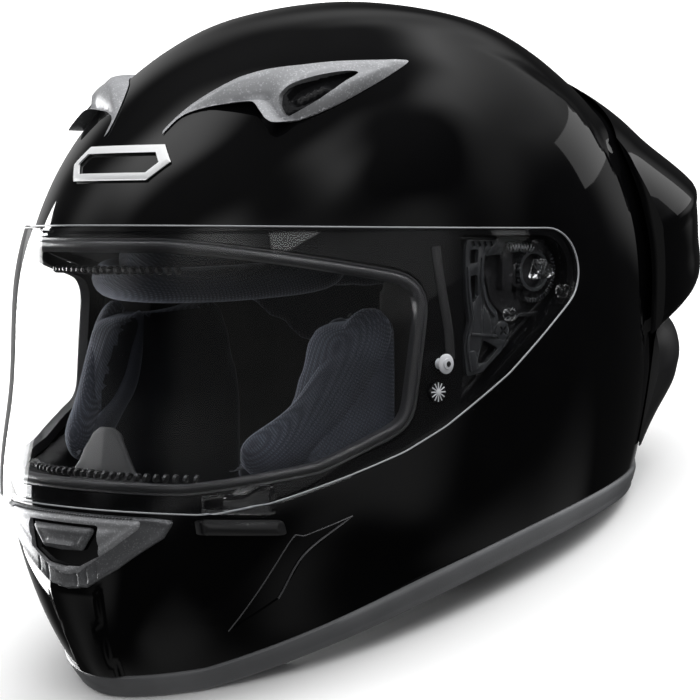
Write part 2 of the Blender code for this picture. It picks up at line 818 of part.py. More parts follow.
def intake_outline(grow):
    """The air intake behind the chin vent's shutter, in front view."""
    top, bottom = SHUTTER_TOP - INTAKE_INSET, SHUTTER_BOTTOM + INTAKE_INSET
    return trapezoid(top, bottom, (INTAKE_HALF_WIDTH, INTAKE_HALF_WIDTH), grow)


def make_chin_vent():
    body = trapezoid(CHIN_VENT_TOP, CHIN_VENT_BOTTOM, CHIN_VENT_HALF_WIDTHS)
    vent = keep(slab(VENT_SEAT, CHIN_VENT_RISE), prism(body, "Y", -FAR, -60))
    widest = (SHUTTER_HALF_WIDTHS[0], SHUTTER_HALF_WIDTHS[0])
    window = trapezoid(SHUTTER_TOP, SHUTTER_BOTTOM - SHUTTER_TRAVEL, widest, 0.8)
    cut(vent, prism(window, "Y", -FAR, -60))
    finish(vent, "chin_vent_body", GUNMETAL)
    flap = trapezoid(SHUTTER_TOP, SHUTTER_BOTTOM, SHUTTER_HALF_WIDTHS)
    shutter = keep(slab(VENT_SEAT + 0.4, SHUTTER_RISE), prism(flap, "Y", -FAR, -60))
    finish(shutter, "chin_vent_shutter", GUNMETAL)
    mesh = keep(slab(-SHELL_WALL + 0.6, -1.0), prism(intake_outline(-GAP), "Y", -FAR, -60))
    finish(mesh, "chin_vent_mesh", RUBBER)


def spread_angles(spread, count):
    """Plan angles from one side of the rear to the other, and how far each is from the rear."""
    for k in range(count + 1):
        share = 2 * k / count - 1
        yield math.pi / 2 - share * spread, abs(share)


def share_at(height):
    low, high = 0.0, 1.0
    for _ in range(40):
        middle = (low + high) / 2
        low, high = (middle, high) if spline(middle)[0] < height else (low, middle)
    return low


def rear_section(angle, rows, depth=4.0):
    """A section of a piece on the shell: heights and reaches down its outside, then back up inside."""
    outside = [form_point(share_at(height), angle, reach) for height, reach in rows]
    low, high = rows[-1][0], rows[0][0]
    inside = [form_point(share_at(low + (high - low) * k / 4), angle, -depth) for k in range(5)]
    return outside + inside


def make_spoiler():
    sections = []
    for angle, side in spread_angles(SPOILER_SPREAD, 20):
        reach = SPOILER_REACH * (1 - 0.72 * side**4)
        start, shoulder, lip, foot = (
            a + (b - a) * side**2 for a, b in (SPOILER_START, SPOILER_SHOULDER, SPOILER_LIP, SPOILER_FOOT)
        )
        rows = (
            (start, 1.2),
            ((start + shoulder) / 2, 1.5 + reach * 0.2),
            (shoulder, reach * 0.46),
            (lip, reach),
            (foot, reach * SPOILER_EDGE),
            (foot - 7, 2.0),
        )
        sections.append(rear_section(angle, rows))
    spoiler = cut(loft(sections), form_solid(VENT_SEAT))
    finish(spoiler, "rear_spoiler", GLOSS_BLACK)


def make_exhaust():
    sections = []
    top, upper, lower, foot = EXHAUST_LEVELS
    for angle, side in spread_angles(EXHAUST_SPREAD, 16):
        reach = EXHAUST_REACH * (1 - 0.75 * side**4)
        drop = -19 * side**2
        rows = ((top + drop, 1.2), (upper + drop, reach), (lower, reach * 0.95), (foot, 2.0))
        sections.append(rear_section(angle, rows))
    cover = cut(loft(sections), form_solid(VENT_SEAT), base_layer(-FAR, TRIM_HEIGHT + 2 * GAP))
    finish(cover, "rear_exhaust_cover", GUNMETAL)


def make_badge():
    """A plain oval ring over the eye port."""
    rings = []
    angles = [math.tau * k / 36 for k in range(36)]
    for inset in (0.0, BADGE_RIM):
        wide, high = BADGE_HALF_WIDTH - inset, BADGE_HALF_HEIGHT - inset
        rings.append([(wide * math.cos(a), BADGE_CENTRE + high * math.sin(a)) for a in angles])
    badge = keep(slab(VENT_SEAT, BADGE_RISE), prism(rings[0], "Y", -FAR, -40))
    cut(badge, prism(rings[1], "Y", -FAR, -40))
    finish(badge, "brow_badge", GUNMETAL)


# --- chin strap -------------------------------------------------------------------------------------


def strap_band(path):
    """A band of webbing along a path of (X, Z) in base axes, centred on STRAP_Y."""
    half = STRAP_WALL / 2
    left, right = [], []
    for index, point in enumerate(path):
        before = Vector(path[max(index - 1, 0)])
        after = Vector(path[min(index + 1, len(path) - 1)])
        along = (after - before).normalized()
        across = Vector((-along.y, along.x)) * half
        left.append(tuple(Vector(point) + across))
        right.append(tuple(Vector(point) - across))
    band = prism(left + right[::-1], "Y", STRAP_Y - STRAP_WIDTH / 2, STRAP_Y + STRAP_WIDTH / 2)
    band.data.transform(base_turn())
    return band


def strap_root():
    """Where a strap starts, just inside the base trim, as an X in base axes."""
    place = base_turn() @ Vector((0, STRAP_Y, STRAP_HEIGHT))
    return side_x(place.y, place.z) - TRIM_DEPTH - 4.5


def make_straps():
    root, level_ = strap_root(), STRAP_HEIGHT
    low = STRAP_HEIGHT - STRAP_SAG
    path = [
        (root, level_), (root - 14, level_), (72, level_ - 2), (50, low + 1), (22, low - 1), (-6, low),
        (-20, low + 2),
    ]
    finish(strap_band(smooth(path, 4)), "chin_strap_left", WEBBING)
    x, z = RING_X, RING_HEIGHT
    path = [
        (-root, level_), (14 - root, level_), (-72, level_ + 2.2), (x - 6, z + 3.2), (x, z + 3.2),
        (x + 3.4, z + 1), (x + 3.6, z - 4.6), (x, z - 6.8), (x - 8, z - 6.8),
    ]
    finish(strap_band(smooth(path, 3)), "chin_strap_right", WEBBING)
    for side, word in ((1, "left"), (-1, "right")):
        ends = sorted((side * root, side * (root - ANCHOR_LENGTH)))
        foot = level_ + STRAP_WALL / 2 + GAP
        low_, high_ = (ends[0], STRAP_Y - 9, foot), (ends[1], STRAP_Y + 9, foot + ANCHOR_WALL)
        finish(box(low_, high_, base_turn()), f"strap_anchor_{word}", STEEL)
    for index, word in enumerate(("upper", "lower")):
        droop = index * RING_DROOP
        finish(make_ring(z - index * (RING_WIRE + 2 * GAP), droop), f"d_ring_{word}", STEEL)


def smooth(points, steps):
    """A path rounded off through its own points."""
    before = Vector(points[0]) * 2 - Vector(points[1])
    after = Vector(points[-1]) * 2 - Vector(points[-2])
    ends = [before, *map(Vector, points), after]
    made = []
    for p0, p1, p2, p3 in zip(ends, ends[1:], ends[2:], ends[3:]):
        for k in range(steps):
            t = k / steps
            slope = p2 - p0
            bend = 2 * p0 - 5 * p1 + 4 * p2 - p3
            twist = 3 * p1 - p0 - 3 * p2 + p3
            made.append(tuple(0.5 * (2 * p1 + slope * t + bend * t * t + twist * t**3)))
    return [*made, tuple(points[-1])]


def make_ring(height, droop):
    """A D-ring that hangs down from its straight bar by the angle droop."""
    curve = bpy.data.curves.new("ring", "CURVE")
    curve.dimensions = "3D"
    curve.bevel_depth = RING_WIRE / 2
    curve.bevel_resolution = 2
    line = curve.splines.new("POLY")
    half = RING_WIDTH / 2 - RING_WIRE / 2
    angles = [math.pi * (k / 10 - 0.5) for k in range(1, 10)]
    bow = [(RING_REACH * math.cos(a) ** 0.7, half * math.sin(a)) for a in angles]
    points = [(0, -half), *bow, (0, half)]
    line.points.add(len(points) - 1)
    for point, (x, y) in zip(line.points, points):
        point.co = (RING_X + x * math.cos(droop), STRAP_Y + y, height - x * math.sin(droop), 1)
    line.use_cyclic_u = True
    obj = bpy.data.objects.new("ring", curve)
    WORK.objects.link(obj)
    mesh = bpy.data.meshes.new_from_object(obj.evaluated_get(bpy.context.evaluated_depsgraph_get()))
    bpy.data.objects.remove(obj)
    bm = bmesh.new()
    bm.from_mesh(mesh)
    bmesh.ops.transform(bm, matrix=base_turn(), verts=bm.verts)
    return mesh_object("ring", bm)


def stand_up():
    """Turns the helmet to stand on its base, in metres, and centres it."""
    stand = Matrix.Scale(MM, 4) @ base_turn().inverted()
    corners = []
    for obj in HELMET.objects:
        obj.data.transform(stand)
        corners.extend(vertex.co.y for vertex in obj.data.vertices)
    centre = Matrix.Translation((0, -(min(corners) + max(corners)) / 2, 0))
    for obj in HELMET.objects:
        obj.data.transform(centre)


def main():
    make_outer_shell()
    make_base_trim()
    make_gasket()
    make_eps_liner()
    make_chin_liner()
    make_crown_pad()
    both_sides(make_cheek_pad, "cheek_pad", CLOTH)
    make_neck_roll()
    make_chin_curtain()
    make_breath_guard()
    make_visor()
    both_sides(lambda side: make_pin(side, POST_PLACE, 2.4), "tear_off_post", STEEL)
    both_sides(lambda side: make_pin(side, PIN_PLACE, PIN_HEAD), "antifog_pin", CLEAR)
    both_sides(make_plate, "visor_base_plate", MATTE_BLACK)
    both_sides(make_gear, "detent_ring", MATTE_BLACK)
    both_sides(make_lever, "visor_release_lever", MATTE_BLACK)
    for index, (y, z) in enumerate(SCREW_PLACES):
        both_sides(lambda side: make_screw(side, y, z), f"plate_screw_{('upper', 'lower')[index]}", STEEL)
    make_lift_tab()
    make_latch()
    both_sides(make_brow_vent, "brow_vent", GUNMETAL)
    both_sides(make_brow_slider, "brow_vent_slider", GLOSS_BLACK)
    make_chin_vent()
    both_sides(make_lever_spring, "lever_spring", STEEL)
    make_badge()
    make_spoiler()
    make_exhaust()
    make_straps()
    stand_up()


clear_scene()
WORK = collection("work")
HELMET = collection("motorcycle_helmet")
GLOSS_BLACK = material("gloss_black", (0.008, 0.008, 0.009), 0.06)
MATTE_BLACK = material("matte_black", (0.02, 0.02, 0.022), 0.5)
GUNMETAL = material("gunmetal", (0.22, 0.23, 0.24), 0.38, 0.6)
TRIM_GREY = material("trim_grey", (0.08, 0.08, 0.085), 0.55)
RUBBER = material("rubber", (0.015, 0.015, 0.016), 0.7)
FOAM = material("foam", (0.03, 0.03, 0.032), 0.9)
CLOTH = material("cloth", (0.03, 0.032, 0.04), 0.95)
STEEL = material("steel", (0.6, 0.6, 0.62), 0.3, 1.0)
CLEAR = material("clear", (0.9, 0.92, 0.94), 0.03, 0.0, 0.25)
WEBBING = material("webbing", (0.01, 0.01, 0.012), 0.85)
main()
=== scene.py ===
"""Detailed looks of a full-face motorcycle helmet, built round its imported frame.

Shapes are worked out in head axes, in millimetres: the origin lies on the visor's pivot axis, X points to the
wearer's left, Y to the rear and Z up. A finished piece is put in the frame's axes and in metres.
"""

import logging
import math
from dataclasses import dataclass
from enum import Enum
from typing import Callable, Iterable, Optional, Sequence

import bmesh
import bpy
import numpy as np
from mathutils import Matrix, Vector


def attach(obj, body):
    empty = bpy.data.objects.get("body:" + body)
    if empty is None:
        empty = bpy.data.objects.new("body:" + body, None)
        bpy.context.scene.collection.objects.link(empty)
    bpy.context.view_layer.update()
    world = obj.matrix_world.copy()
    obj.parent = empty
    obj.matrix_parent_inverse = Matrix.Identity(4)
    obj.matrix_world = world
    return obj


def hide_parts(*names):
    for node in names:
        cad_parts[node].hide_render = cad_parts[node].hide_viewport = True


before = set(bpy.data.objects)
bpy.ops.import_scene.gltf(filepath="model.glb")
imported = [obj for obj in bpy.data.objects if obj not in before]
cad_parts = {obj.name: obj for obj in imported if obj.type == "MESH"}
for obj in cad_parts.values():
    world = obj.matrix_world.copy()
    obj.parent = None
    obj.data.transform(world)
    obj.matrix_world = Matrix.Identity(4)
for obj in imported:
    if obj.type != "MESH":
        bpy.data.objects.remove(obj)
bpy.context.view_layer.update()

LOG = logging.getLogger("helmet")
MM = 0.001
FAR = 400.0
BASE_TILT = math.radians(18.5)
BASE_DROP = 135.5
CENTRING = -35.990
ARCH_RISE, ARCH_CENTRE, ARCH_HALF = 13.5, -5.0, 120.0  # of the lower edge's arch at the sides
TRIM_HEIGHT = 11.0
VISOR_TOP, VISOR_BOTTOM = 18.0, -98.0
SIDES = ((1, "left"), (-1, "right"))

Object = bpy.types.Object
Socket = bpy.types.NodeSocket
Pair = tuple[float, float]
Points = list[Pair]
Outline = Sequence[Pair]


def base_matrix() -> Matrix:
    """Turns base axes, with the base plane at zero height, to head axes."""
    return Matrix.Translation((0, 0, -BASE_DROP)) @ Matrix.Rotation(BASE_TILT, 4, "X")


def frame_matrix() -> Matrix:
    """Turns head axes in millimetres to the frame's axes in metres."""
    return Matrix.Scale(MM, 4) @ Matrix.Translation((0, CENTRING, 0)) @ base_matrix().inverted()


def ease(value: np.ndarray, low: float, high: float) -> np.ndarray:
    """Rises smoothly from 0 at low to 1 at high."""
    share = np.clip((value - low) / (high - low), 0.0, 1.0)
    return share * share * (3 - 2 * share)


def between(rows: Sequence[np.ndarray], t: "float | np.ndarray") -> np.ndarray:
    """A smooth blend from the second to the third of four rows, at a share t of the way."""
    a, b, c, d = rows
    return 0.5 * (2 * b + (c - a) * t + (2 * a - 5 * b + 4 * c - d) * t * t + (3 * b - a - 3 * c + d) * t**3)


def normalised(vectors: np.ndarray) -> np.ndarray:
    """Vectors along the last axis, brought to length 1."""
    return vectors / np.linalg.norm(vectors, axis=-1, keepdims=True)


def arch(y: "float | np.ndarray") -> "float | np.ndarray":
    """How high the helmet's lower edge arches up at a place from front to rear, in base axes."""
    return ARCH_RISE * np.maximum(0.0, 1 - ((y - ARCH_CENTRE) / ARCH_HALF) ** 2)


# --- the helmet's form ---


@dataclass(frozen=True)
class Form:
    """The helmet's outer form: a stack of rounded plan outlines from below the base to the crown."""

    half_width: float = 125.0
    front_reach: float = 162.0
    rear_reach: float = 152.0
    crown_height: float = 120.0
    lower_depth: float = 215.0
    # Height, half width, front and rear as shares of the sizes above, then the roundness in front and
    # behind.
    stations: tuple[tuple[float, ...], ...] = (
        (-1.20, 0.30, 0.30, 0.25, 1.60, 2.20),
        (-1.00, 0.60, 0.62, 0.47, 1.60, 2.20),
        (-0.84, 0.73, 0.83, 0.62, 1.75, 2.20),
        (-0.67, 0.84, 0.94, 0.75, 2.05, 2.20),
        (-0.46, 0.94, 0.98, 0.87, 2.30, 2.20),
        (-0.23, 0.99, 0.95, 0.96, 2.15, 2.20),
        (0.0, 1.0, 0.93, 1.0, 2.10, 2.20),
        (0.32, 0.96, 0.835, 0.96, 2.10, 2.10),
        (0.585, 0.856, 0.685, 0.825, 2.10, 2.05),
        (0.80, 0.664, 0.50, 0.59, 2.10, 2.00),
        (0.94, 0.42, 0.285, 0.345, 2.10, 2.00),
        (1.00, 0.0, 0.0, 0.0, 2.10, 2.00),
    )

    def table(self) -> np.ndarray:
        """The stations in millimetres, with a mirrored one past the crown that makes the form level there."""
        rows = np.array(self.stations)
        rows[:, 0] *= np.where(rows[:, 0] > 0, self.crown_height, self.lower_depth)
        rows[:, 1:4] *= (self.half_width, self.front_reach, self.rear_reach)
        return np.vstack([rows, rows[-2] * (1, -1, -1, -1, 1, 1)])

    def rows(self, shares: np.ndarray) -> np.ndarray:
        """Station values at shares of the way from the lowest station to the crown.

        Args:
            shares: shares from 0 to 1, in an array of any shape.

        Returns:
            The six station values of each share, along a new last axis.
        """
        table = self.table()
        place = np.clip(shares, 0.0, 1.0) * (len(table) - 2)
        index = np.minimum(place.astype(int), len(table) - 3)
        t = (place - index)[..., None]
        return between([table[np.maximum(index + k, 0)] for k in (-1, 0, 1, 2)], t)

    def plan(self, row: np.ndarray, ahead: np.ndarray) -> tuple[np.ndarray, np.ndarray]:
        """The reach and the roundness of a row of station values, in front or behind."""
        return np.where(ahead, row[..., 2], row[..., 3]), np.where(ahead, row[..., 4], row[..., 5])

    def base(self, shares: np.ndarray, angles: np.ndarray) -> np.ndarray:
        """Points of the plain form.

        Args:
            shares: shares of its height, from 0 to 1.
            angles: plan angles, where a quarter turn back from X is the front.

        Returns:
            The points, along a new last axis.
        """
        row = self.rows(np.asarray(shares, float))
        across, along = np.cos(angles), np.sin(angles)
        reach, roundness = self.plan(row, along < 0)
        power = 2 / roundness
        x = row[..., 1] * np.sign(across) * np.abs(across) ** power
        y = reach * np.sign(along) * np.abs(along) ** power
        return np.stack(np.broadcast_arrays(x, y, row[..., 0]), -1)

    def normals(self, shares: np.ndarray, angles: np.ndarray) -> np.ndarray:
        """Outward directions of the plain form."""
        step = 0.002
        low, high = np.clip(shares - step, 0, 0.9995), np.clip(shares + step, 0, 0.9999)
        up = self.base(high, angles) - self.base(low, angles)
        level = np.clip(shares, 0, 0.998)
        around = self.base(level, angles + step) - self.base(level, angles - step)
        return self.facing(around, up)

    def facing(self, around: np.ndarray, up: np.ndarray) -> np.ndarray:
        """The way out of a face that runs around and up."""
        normal = np.cross(around, up)
        return normal / np.maximum(np.linalg.norm(normal, axis=-1, keepdims=True), 1e-9)

    def surface(
        self, shares: np.ndarray, angles: np.ndarray, grow: float = 0.0, shaped: bool = False
    ) -> np.ndarray:
        """Points of the form, grown outwards.

        Args:
            shares: shares of its height, from 0 to 1.
            angles: plan angles.
            grow: how far outwards the points lie.
            shaped: whether they follow the painted shell's creases.

        Returns:
            The points, along a new last axis.
        """
        points, normals = self.base(shares, angles), self.normals(shares, angles)
        height = grow + (self.relief(points) if shaped else 0.0)
        return points + normals * np.broadcast_to(height, points.shape[:-1])[..., None]

    def surface_normals(self, shares: np.ndarray, angles: np.ndarray) -> np.ndarray:
        """Outward directions of the creased form."""
        step = 0.0015
        low, high = np.clip(shares - step, 0, 0.9985), np.clip(shares + step, 0, 0.9992)
        level = np.clip(shares, 0, 0.9985)
        up = self.surface(high, angles, 0, True) - self.surface(low, angles, 0, True)
        around = self.surface(level, angles + step, 0, True) - self.surface(level, angles - step, 0, True)
        return self.facing(around, up)

    def relief(self, points: np.ndarray) -> np.ndarray:
        """How far the painted shell stands off the plain form: its flank, its chin and its cheeks.

        Args:
            points: points near the form.

        Returns:
            The height at each point, negative where the shell is hollow.
        """
        x, y, z = np.abs(points[..., 0]), points[..., 1], points[..., 2]
        # A hollow flank behind a crease that runs from the crown down towards the rear spoiler.
        crease = np.interp(z, (-60, -11, 18, 37, 62, 74, 91, 104), (86, 75, 73, 66, 51, 41, 12, -30))
        behind = y - crease
        side = ease(x, 38, 70) * ease(z, -48, -14) * (1 - ease(z, 74, 104))
        width = 7.0 + 16.0 * ease(z, 52, 92)
        flank = -2.9 * ease(behind / width, -0.15, 1.0) * (1 - ease(behind / width, 1.8, 4.4)) * side
        # A proud panel down the middle of the chin.
        width = np.interp(z, (-200, -170, -150, -130), (17, 14, 13, 19))
        chin = 1.6 * (1 - ease(x, width - 2.0, width + 2.0)) * (1 - ease(z, -136, -129)) * (y < 0)
        # A shallow dish low on each cheek.
        dish = -1.3 * np.exp(-(((y + 52) / 36) ** 2) - ((z + 128) / 13) ** 2) * (x > 60)
        return flank + chin + dish

    def places(self, points: np.ndarray) -> tuple[np.ndarray, np.ndarray, np.ndarray]:
        """Where points near the form belong on it.

        Args:
            points: points in head axes.

        Returns:
            Their shares of the height, plan angles and heights over the plain form.
        """
        dense = np.linspace(0, 1, 2001)
        heights = self.rows(dense)[:, 0]
        foot = points.copy()
        offset = np.zeros(points.shape[:-1])
        for _ in range(4):
            shares = np.clip(np.interp(foot[..., 2], heights, dense), 0.0, 0.9985)
            row = self.rows(shares)
            reach, roundness = self.plan(row, foot[..., 1] < 0)
            power = roundness / 2
            across = np.sign(foot[..., 0]) * (np.abs(foot[..., 0]) / np.maximum(row[..., 1], 1e-6)) ** power
            along = np.sign(foot[..., 1]) * (np.abs(foot[..., 1]) / np.maximum(reach, 1e-6)) ** power
            angles = np.arctan2(along, across)
            normal = self.normals(shares, angles)
            offset = ((points - self.base(shares, angles)) * normal).sum(-1)
            foot = points - normal * offset[..., None]
        return shares, angles, offset

    def level(self, height: float) -> np.ndarray:
        """Half width, front, rear and their roundness at a height."""
        dense = np.linspace(0, 1, 4001)
        share = np.interp(height, self.rows(dense)[:, 0], dense)
        return self.rows(np.array(share))[1:]

    def side_x(self, y: float, z: float) -> float:
        """Half width of the form at a place in side view."""
        width, front, rear, front_power, rear_power = self.level(z)
        reach, power = (front, front_power) if y < 0 else (rear, rear_power)
        return float(width * max(0.0, 1 - abs(y / reach) ** power) ** (1 / power))

    def front_y(self, x: float, z: float) -> float:
        """How far forward, as a negative Y, the form is at a place in front view."""
        width, front, _, power, _ = self.level(z)
        return float(-front * max(0.0, 1 - abs(x / width) ** power) ** (1 / power))

    def on_side(self, y: float, z: float, grow: float = 0.0) -> np.ndarray:
        """The point of the left side, grown outwards, that shows at a place in side view."""
        point = np.array([self.side_x(y, z), y, z])
        share, angle, _ = self.places(point)
        return point + self.normals(share, angle) * grow

    def on_front(self, x: float, z: float, grow: float = 0.0) -> np.ndarray:
        """The point of the front, grown outwards, that shows at a place in front view."""
        point = np.array([x, self.front_y(x, z), z])
        share, angle, _ = self.places(point)
        return point + self.normals(share, angle) * grow


FORM = Form()


# --- mesh helpers ---


def linked(name: str, data: bpy.types.ID) -> Object:
    """Puts a mesh, a lamp or a camera in the scene as an object."""
    obj = bpy.data.objects.new(name, data)
    bpy.context.scene.collection.objects.link(obj)
    return obj


def new_object(name: str, vertices: Iterable, faces: Iterable) -> Object:
    """Makes a mesh object in the scene from points and faces."""
    mesh = bpy.data.meshes.new(name)
    mesh.from_pydata([tuple(v) for v in vertices], [], [tuple(f) for f in faces])
    mesh.update()
    return linked(name, mesh)


def from_bmesh(name: str, bm: bmesh.types.BMesh) -> Object:
    """Turns a bmesh into an object and frees it."""
    mesh = bpy.data.meshes.new(name)
    bm.to_mesh(mesh)
    bm.free()
    return linked(name, mesh)


def outward(obj: Object, distance: float = 1e-4) -> Object:
    """Merges points within a distance and turns the faces of a closed mesh outwards."""
    bm = bmesh.new()
    bm.from_mesh(obj.data)
    bmesh.ops.remove_doubles(bm, verts=bm.verts, dist=distance)
    bmesh.ops.recalc_face_normals(bm, faces=bm.faces)
    bm.to_mesh(obj.data)
    bm.free()
    return obj


def bake(obj: Object) -> Object:
    """Puts an object's modifiers into its mesh."""
    bpy.context.view_layer.update()
    made = bpy.data.meshes.new_from_object(obj.evaluated_get(bpy.context.evaluated_depsgraph_get()))
    obj.modifiers.clear()
    obj.data = made
    return obj


def boolean(obj: Object, other: Object, operation: str) -> Object:
    """Cuts, keeps or joins with another solid, which is used up."""
    modifier = obj.modifiers.new(operation, "BOOLEAN")
    modifier.operation = operation
    modifier.object = other
    modifier.solver = "EXACT"
    bake(obj)
    bpy.data.objects.remove(other)
    return obj


def cut(obj: Object, *others: Object) -> Object:
    """Takes solids away from a solid."""
    for other in others:
        boolean(obj, other, "DIFFERENCE")
    return obj


def keep(obj: Object, *others: Object) -> Object:
    """Keeps what a solid shares with others."""
    for other in others:
        boolean(obj, other, "INTERSECT")
    return obj


def joined(*objects: Object) -> Object:
    """Puts several meshes into the first one's object."""
    bm = bmesh.new()
    for obj in objects:
        bm.from_mesh(obj.data)
    bm.to_mesh(objects[0].data)
    bm.free()
    for obj in objects[1:]:
        bpy.data.objects.remove(obj)
    return objects[0]


def form_solid(grow: float, rings: int = 60, columns: int = 96, shaped: bool = False) -> Object:
    """The whole form as a closed solid.

    Args:
        grow: how far outwards it is grown.
        rings: how many levels of points it has.
        columns: how many points each level has.
        shaped: whether it has the painted shell's creases.

    Returns:
        The solid.
    """
    shares = np.linspace(0.04, 0.9985, rings)
    angles = np.linspace(0, math.tau, columns, endpoint=False)
    grid = FORM.surface(shares[:, None], angles[None, :], grow, shaped)
    foot, top = grid[0].mean(0), grid[-1].mean(0)
    foot[2], top[2] = grid[0, :, 2].min(), FORM.crown_height + grow
    vertices = [*grid.reshape(-1, 3), foot, top]
    faces = []
    for ring in range(rings - 1):
        for k in range(columns):
            after = (k + 1) % columns
            a, b = ring * columns, (ring + 1) * columns
            faces.append((a + k, a + after, b + after, b + k))
    last = (rings - 1) * columns
    for k in range(columns):
        after = (k + 1) % columns
        faces.append((after, k, rings * columns))
        faces.append((last + k, last + after, rings * columns + 1))
    return new_object("form", vertices, faces)


def slab(low: float, high: float, rings: int, columns: int) -> Object:
    """The layer of the form between two offsets, made from solids of given rings and columns."""
    return cut(form_solid(high, rings, columns), form_solid(low, rings, columns))


def prism(outline: Outline, axis: str, low: float, high: float) -> Object:
    """A flat outline swept along an axis.

    Args:
        outline: its points, as (Y, Z), (X, Z) or (X, Y).
        axis: the axis it is swept along: X, Y or Z.
        low: where the solid starts.
        high: where it ends.

    Returns:
        The solid.
    """
    turn = {
        "X": lambda u, v, w: (w, u, v),
        "Y": lambda u, v, w: (u, w, v),
        "Z": lambda u, v, w: (u, v, w),
    }[axis]
    count = len(outline)
    vertices = [turn(u, v, w) for w in (low, high) for u, v in outline]
    faces = [tuple(range(count)), tuple(range(count, 2 * count))]
    faces += [(k, (k + 1) % count, count + (k + 1) % count, count + k) for k in range(count)]
    return outward(new_object("prism", vertices, faces))


def bar(
    radius: float, start: Sequence[float], end: Sequence[float], segments: int = 24,
    tip: Optional[float] = None
) -> Object:
    """A round or tapered bar between two points.

    Args:
        radius: the radius at its start.
        start: the middle of its first end.
        end: the middle of its other end.
        segments: how many flats go round it.
        tip: the radius at its other end, where that differs.

    Returns:
        The solid.
    """
    start, end = Vector(start), Vector(end)
    along = end - start
    turn = Vector((0, 0, 1)).rotation_difference(along).to_matrix().to_4x4()
    bm = bmesh.new()
    bmesh.ops.create_cone(
        bm, cap_ends=True, segments=segments, radius1=radius, radius2=radius if tip is None else tip,
        depth=along.length, matrix=Matrix.Translation((start + end) / 2) @ turn,
    )
    return from_bmesh("bar", bm)


def lathe(profile: Outline, foot: Sequence[float], axis: Sequence[float], segments: int = 32) -> Object:
    """A turned piece, closed at both ends.

    Args:
        profile: points as (radius, height).
        foot: where height 0 lies on the axis.
        axis: the way that height grows.
        segments: how many flats go round it.

    Returns:
        The solid.
    """
    turn = Vector((0, 0, 1)).rotation_difference(Vector(axis)).to_matrix()
    foot = Vector(foot)
    vertices, faces = [], []
    for radius, height in profile:
        for k in range(segments):
            angle = math.tau * k / segments
            vertices.append(
                foot + turn @ Vector((radius * math.cos(angle), radius * math.sin(angle), height))
            )
    for ring in range(len(profile) - 1):
        for k in range(segments):
            a, b = ring * segments, (ring + 1) * segments
            faces.append((a + k, a + (k + 1) % segments, b + (k + 1) % segments, b + k))
    if profile[0] == profile[-1]:
        return outward(new_object("lathe", vertices, faces))
    faces.append(tuple(range(segments)))
    faces.append(tuple(range((len(profile) - 1) * segments, len(profile) * segments)))
    return outward(new_object("lathe", vertices, faces))


def sweep(rings: np.ndarray, closed: bool) -> Object:
    """Skins sections that have the same number of points.

    Args:
        rings: array of sections, each a closed ring of points.
        closed: whether the last section joins the first; otherwise both ends are capped.

    Returns:
        The closed solid.
    """
    count, size = rings.shape[:2]
    faces = []
    for ring in range(count if closed else count - 1):
        a, b = ring * size, (ring + 1) % count * size
        faces += [(a + k, a + (k + 1) % size, b + (k + 1) % size, b + k) for k in range(size)]
    if not closed:
        faces += [tuple(range(size)), tuple(range((count - 1) * size, count * size))]
    return outward(new_object("sweep", rings.reshape(-1, 3), faces))


def resampled(points: np.ndarray, spacing: float, closed: bool = False) -> np.ndarray:
    """Points at even steps along a path.

    Args:
        points: the path's own points.
        spacing: about how far apart the new ones are.
        closed: whether the path runs back to its start.

    Returns:
        The new points.
    """
    if closed:
        points = np.vstack([points, points[:1]])
    length = np.r_[0, np.cumsum(np.linalg.norm(np.diff(points, axis=0), axis=1))]
    count = max(2, int(round(length[-1] / spacing)))
    steps = np.linspace(0, length[-1], count + 1)[: -1 if closed else None]
    return np.stack([np.interp(steps, length, points[:, k]) for k in range(points.shape[1])], -1)


def side_loop(outline: Outline, spacing: float = 3.0) -> np.ndarray:
    """Wraps a side-view outline round the form, from one side to the other.

    Args:
        outline: its points, open to the front.
        spacing: about how far apart the loop's points are.

    Returns:
        The closed loop.
    """
    flat = resampled(np.array(outline), 0.04)
    dense = np.linspace(0, 1, 4001)
    rows = FORM.rows(dense)
    row = FORM.rows(np.interp(flat[:, 1], rows[:, 0], dense))
    reach, power = FORM.plan(row, flat[:, 0] < 0)
    inside = 1 - np.abs(flat[:, 0] / reach) ** power
    x = row[:, 1] * np.maximum(inside, 0) ** (1 / power)
    left = np.column_stack([x, flat])[inside > 0]
    right = left[::-1] * (-1, 1, 1)
    return resampled(np.vstack([left, right]), spacing, True)


def framed(path: np.ndarray, closed: bool) -> tuple[np.ndarray, np.ndarray]:
    """Directions along a path on the form.

    Args:
        path: the path's points.
        closed: whether it is a loop.

    Returns:
        The way outwards from the form, and the way along its face to the path's left, at each point.
    """
    shares, angles, _ = FORM.places(path)
    normal = FORM.normals(shares, angles)
    along = np.roll(path, -1, 0) - np.roll(path, 1, 0) if closed else np.gradient(path, axis=0)
    return normal, normalised(np.cross(normal, along))


def moulding(path: np.ndarray, profile: Outline, closed: bool = True) -> Object:
    """Sweeps a profile along a path on the form.

    Args:
        path: the path's points.
        profile: points as (across, height), where height is outwards from the form.
        closed: whether the path is a loop.

    Returns:
        The solid.
    """
    normal, across = framed(path, closed)
    flat = np.array(profile)
    rings = path[:, None] + across[:, None] * flat[None, :, :1] + normal[:, None] * flat[None, :, 1:]
    return sweep(rings, closed)


def arc(centre: Pair, radius: float, start: float, end: float, steps: int) -> Points:
    """Points of an arc between two angles in degrees."""
    angles = np.radians(np.linspace(start, end, steps + 1))
    return [(centre[0] + radius * math.cos(a), centre[1] + radius * math.sin(a)) for a in angles]


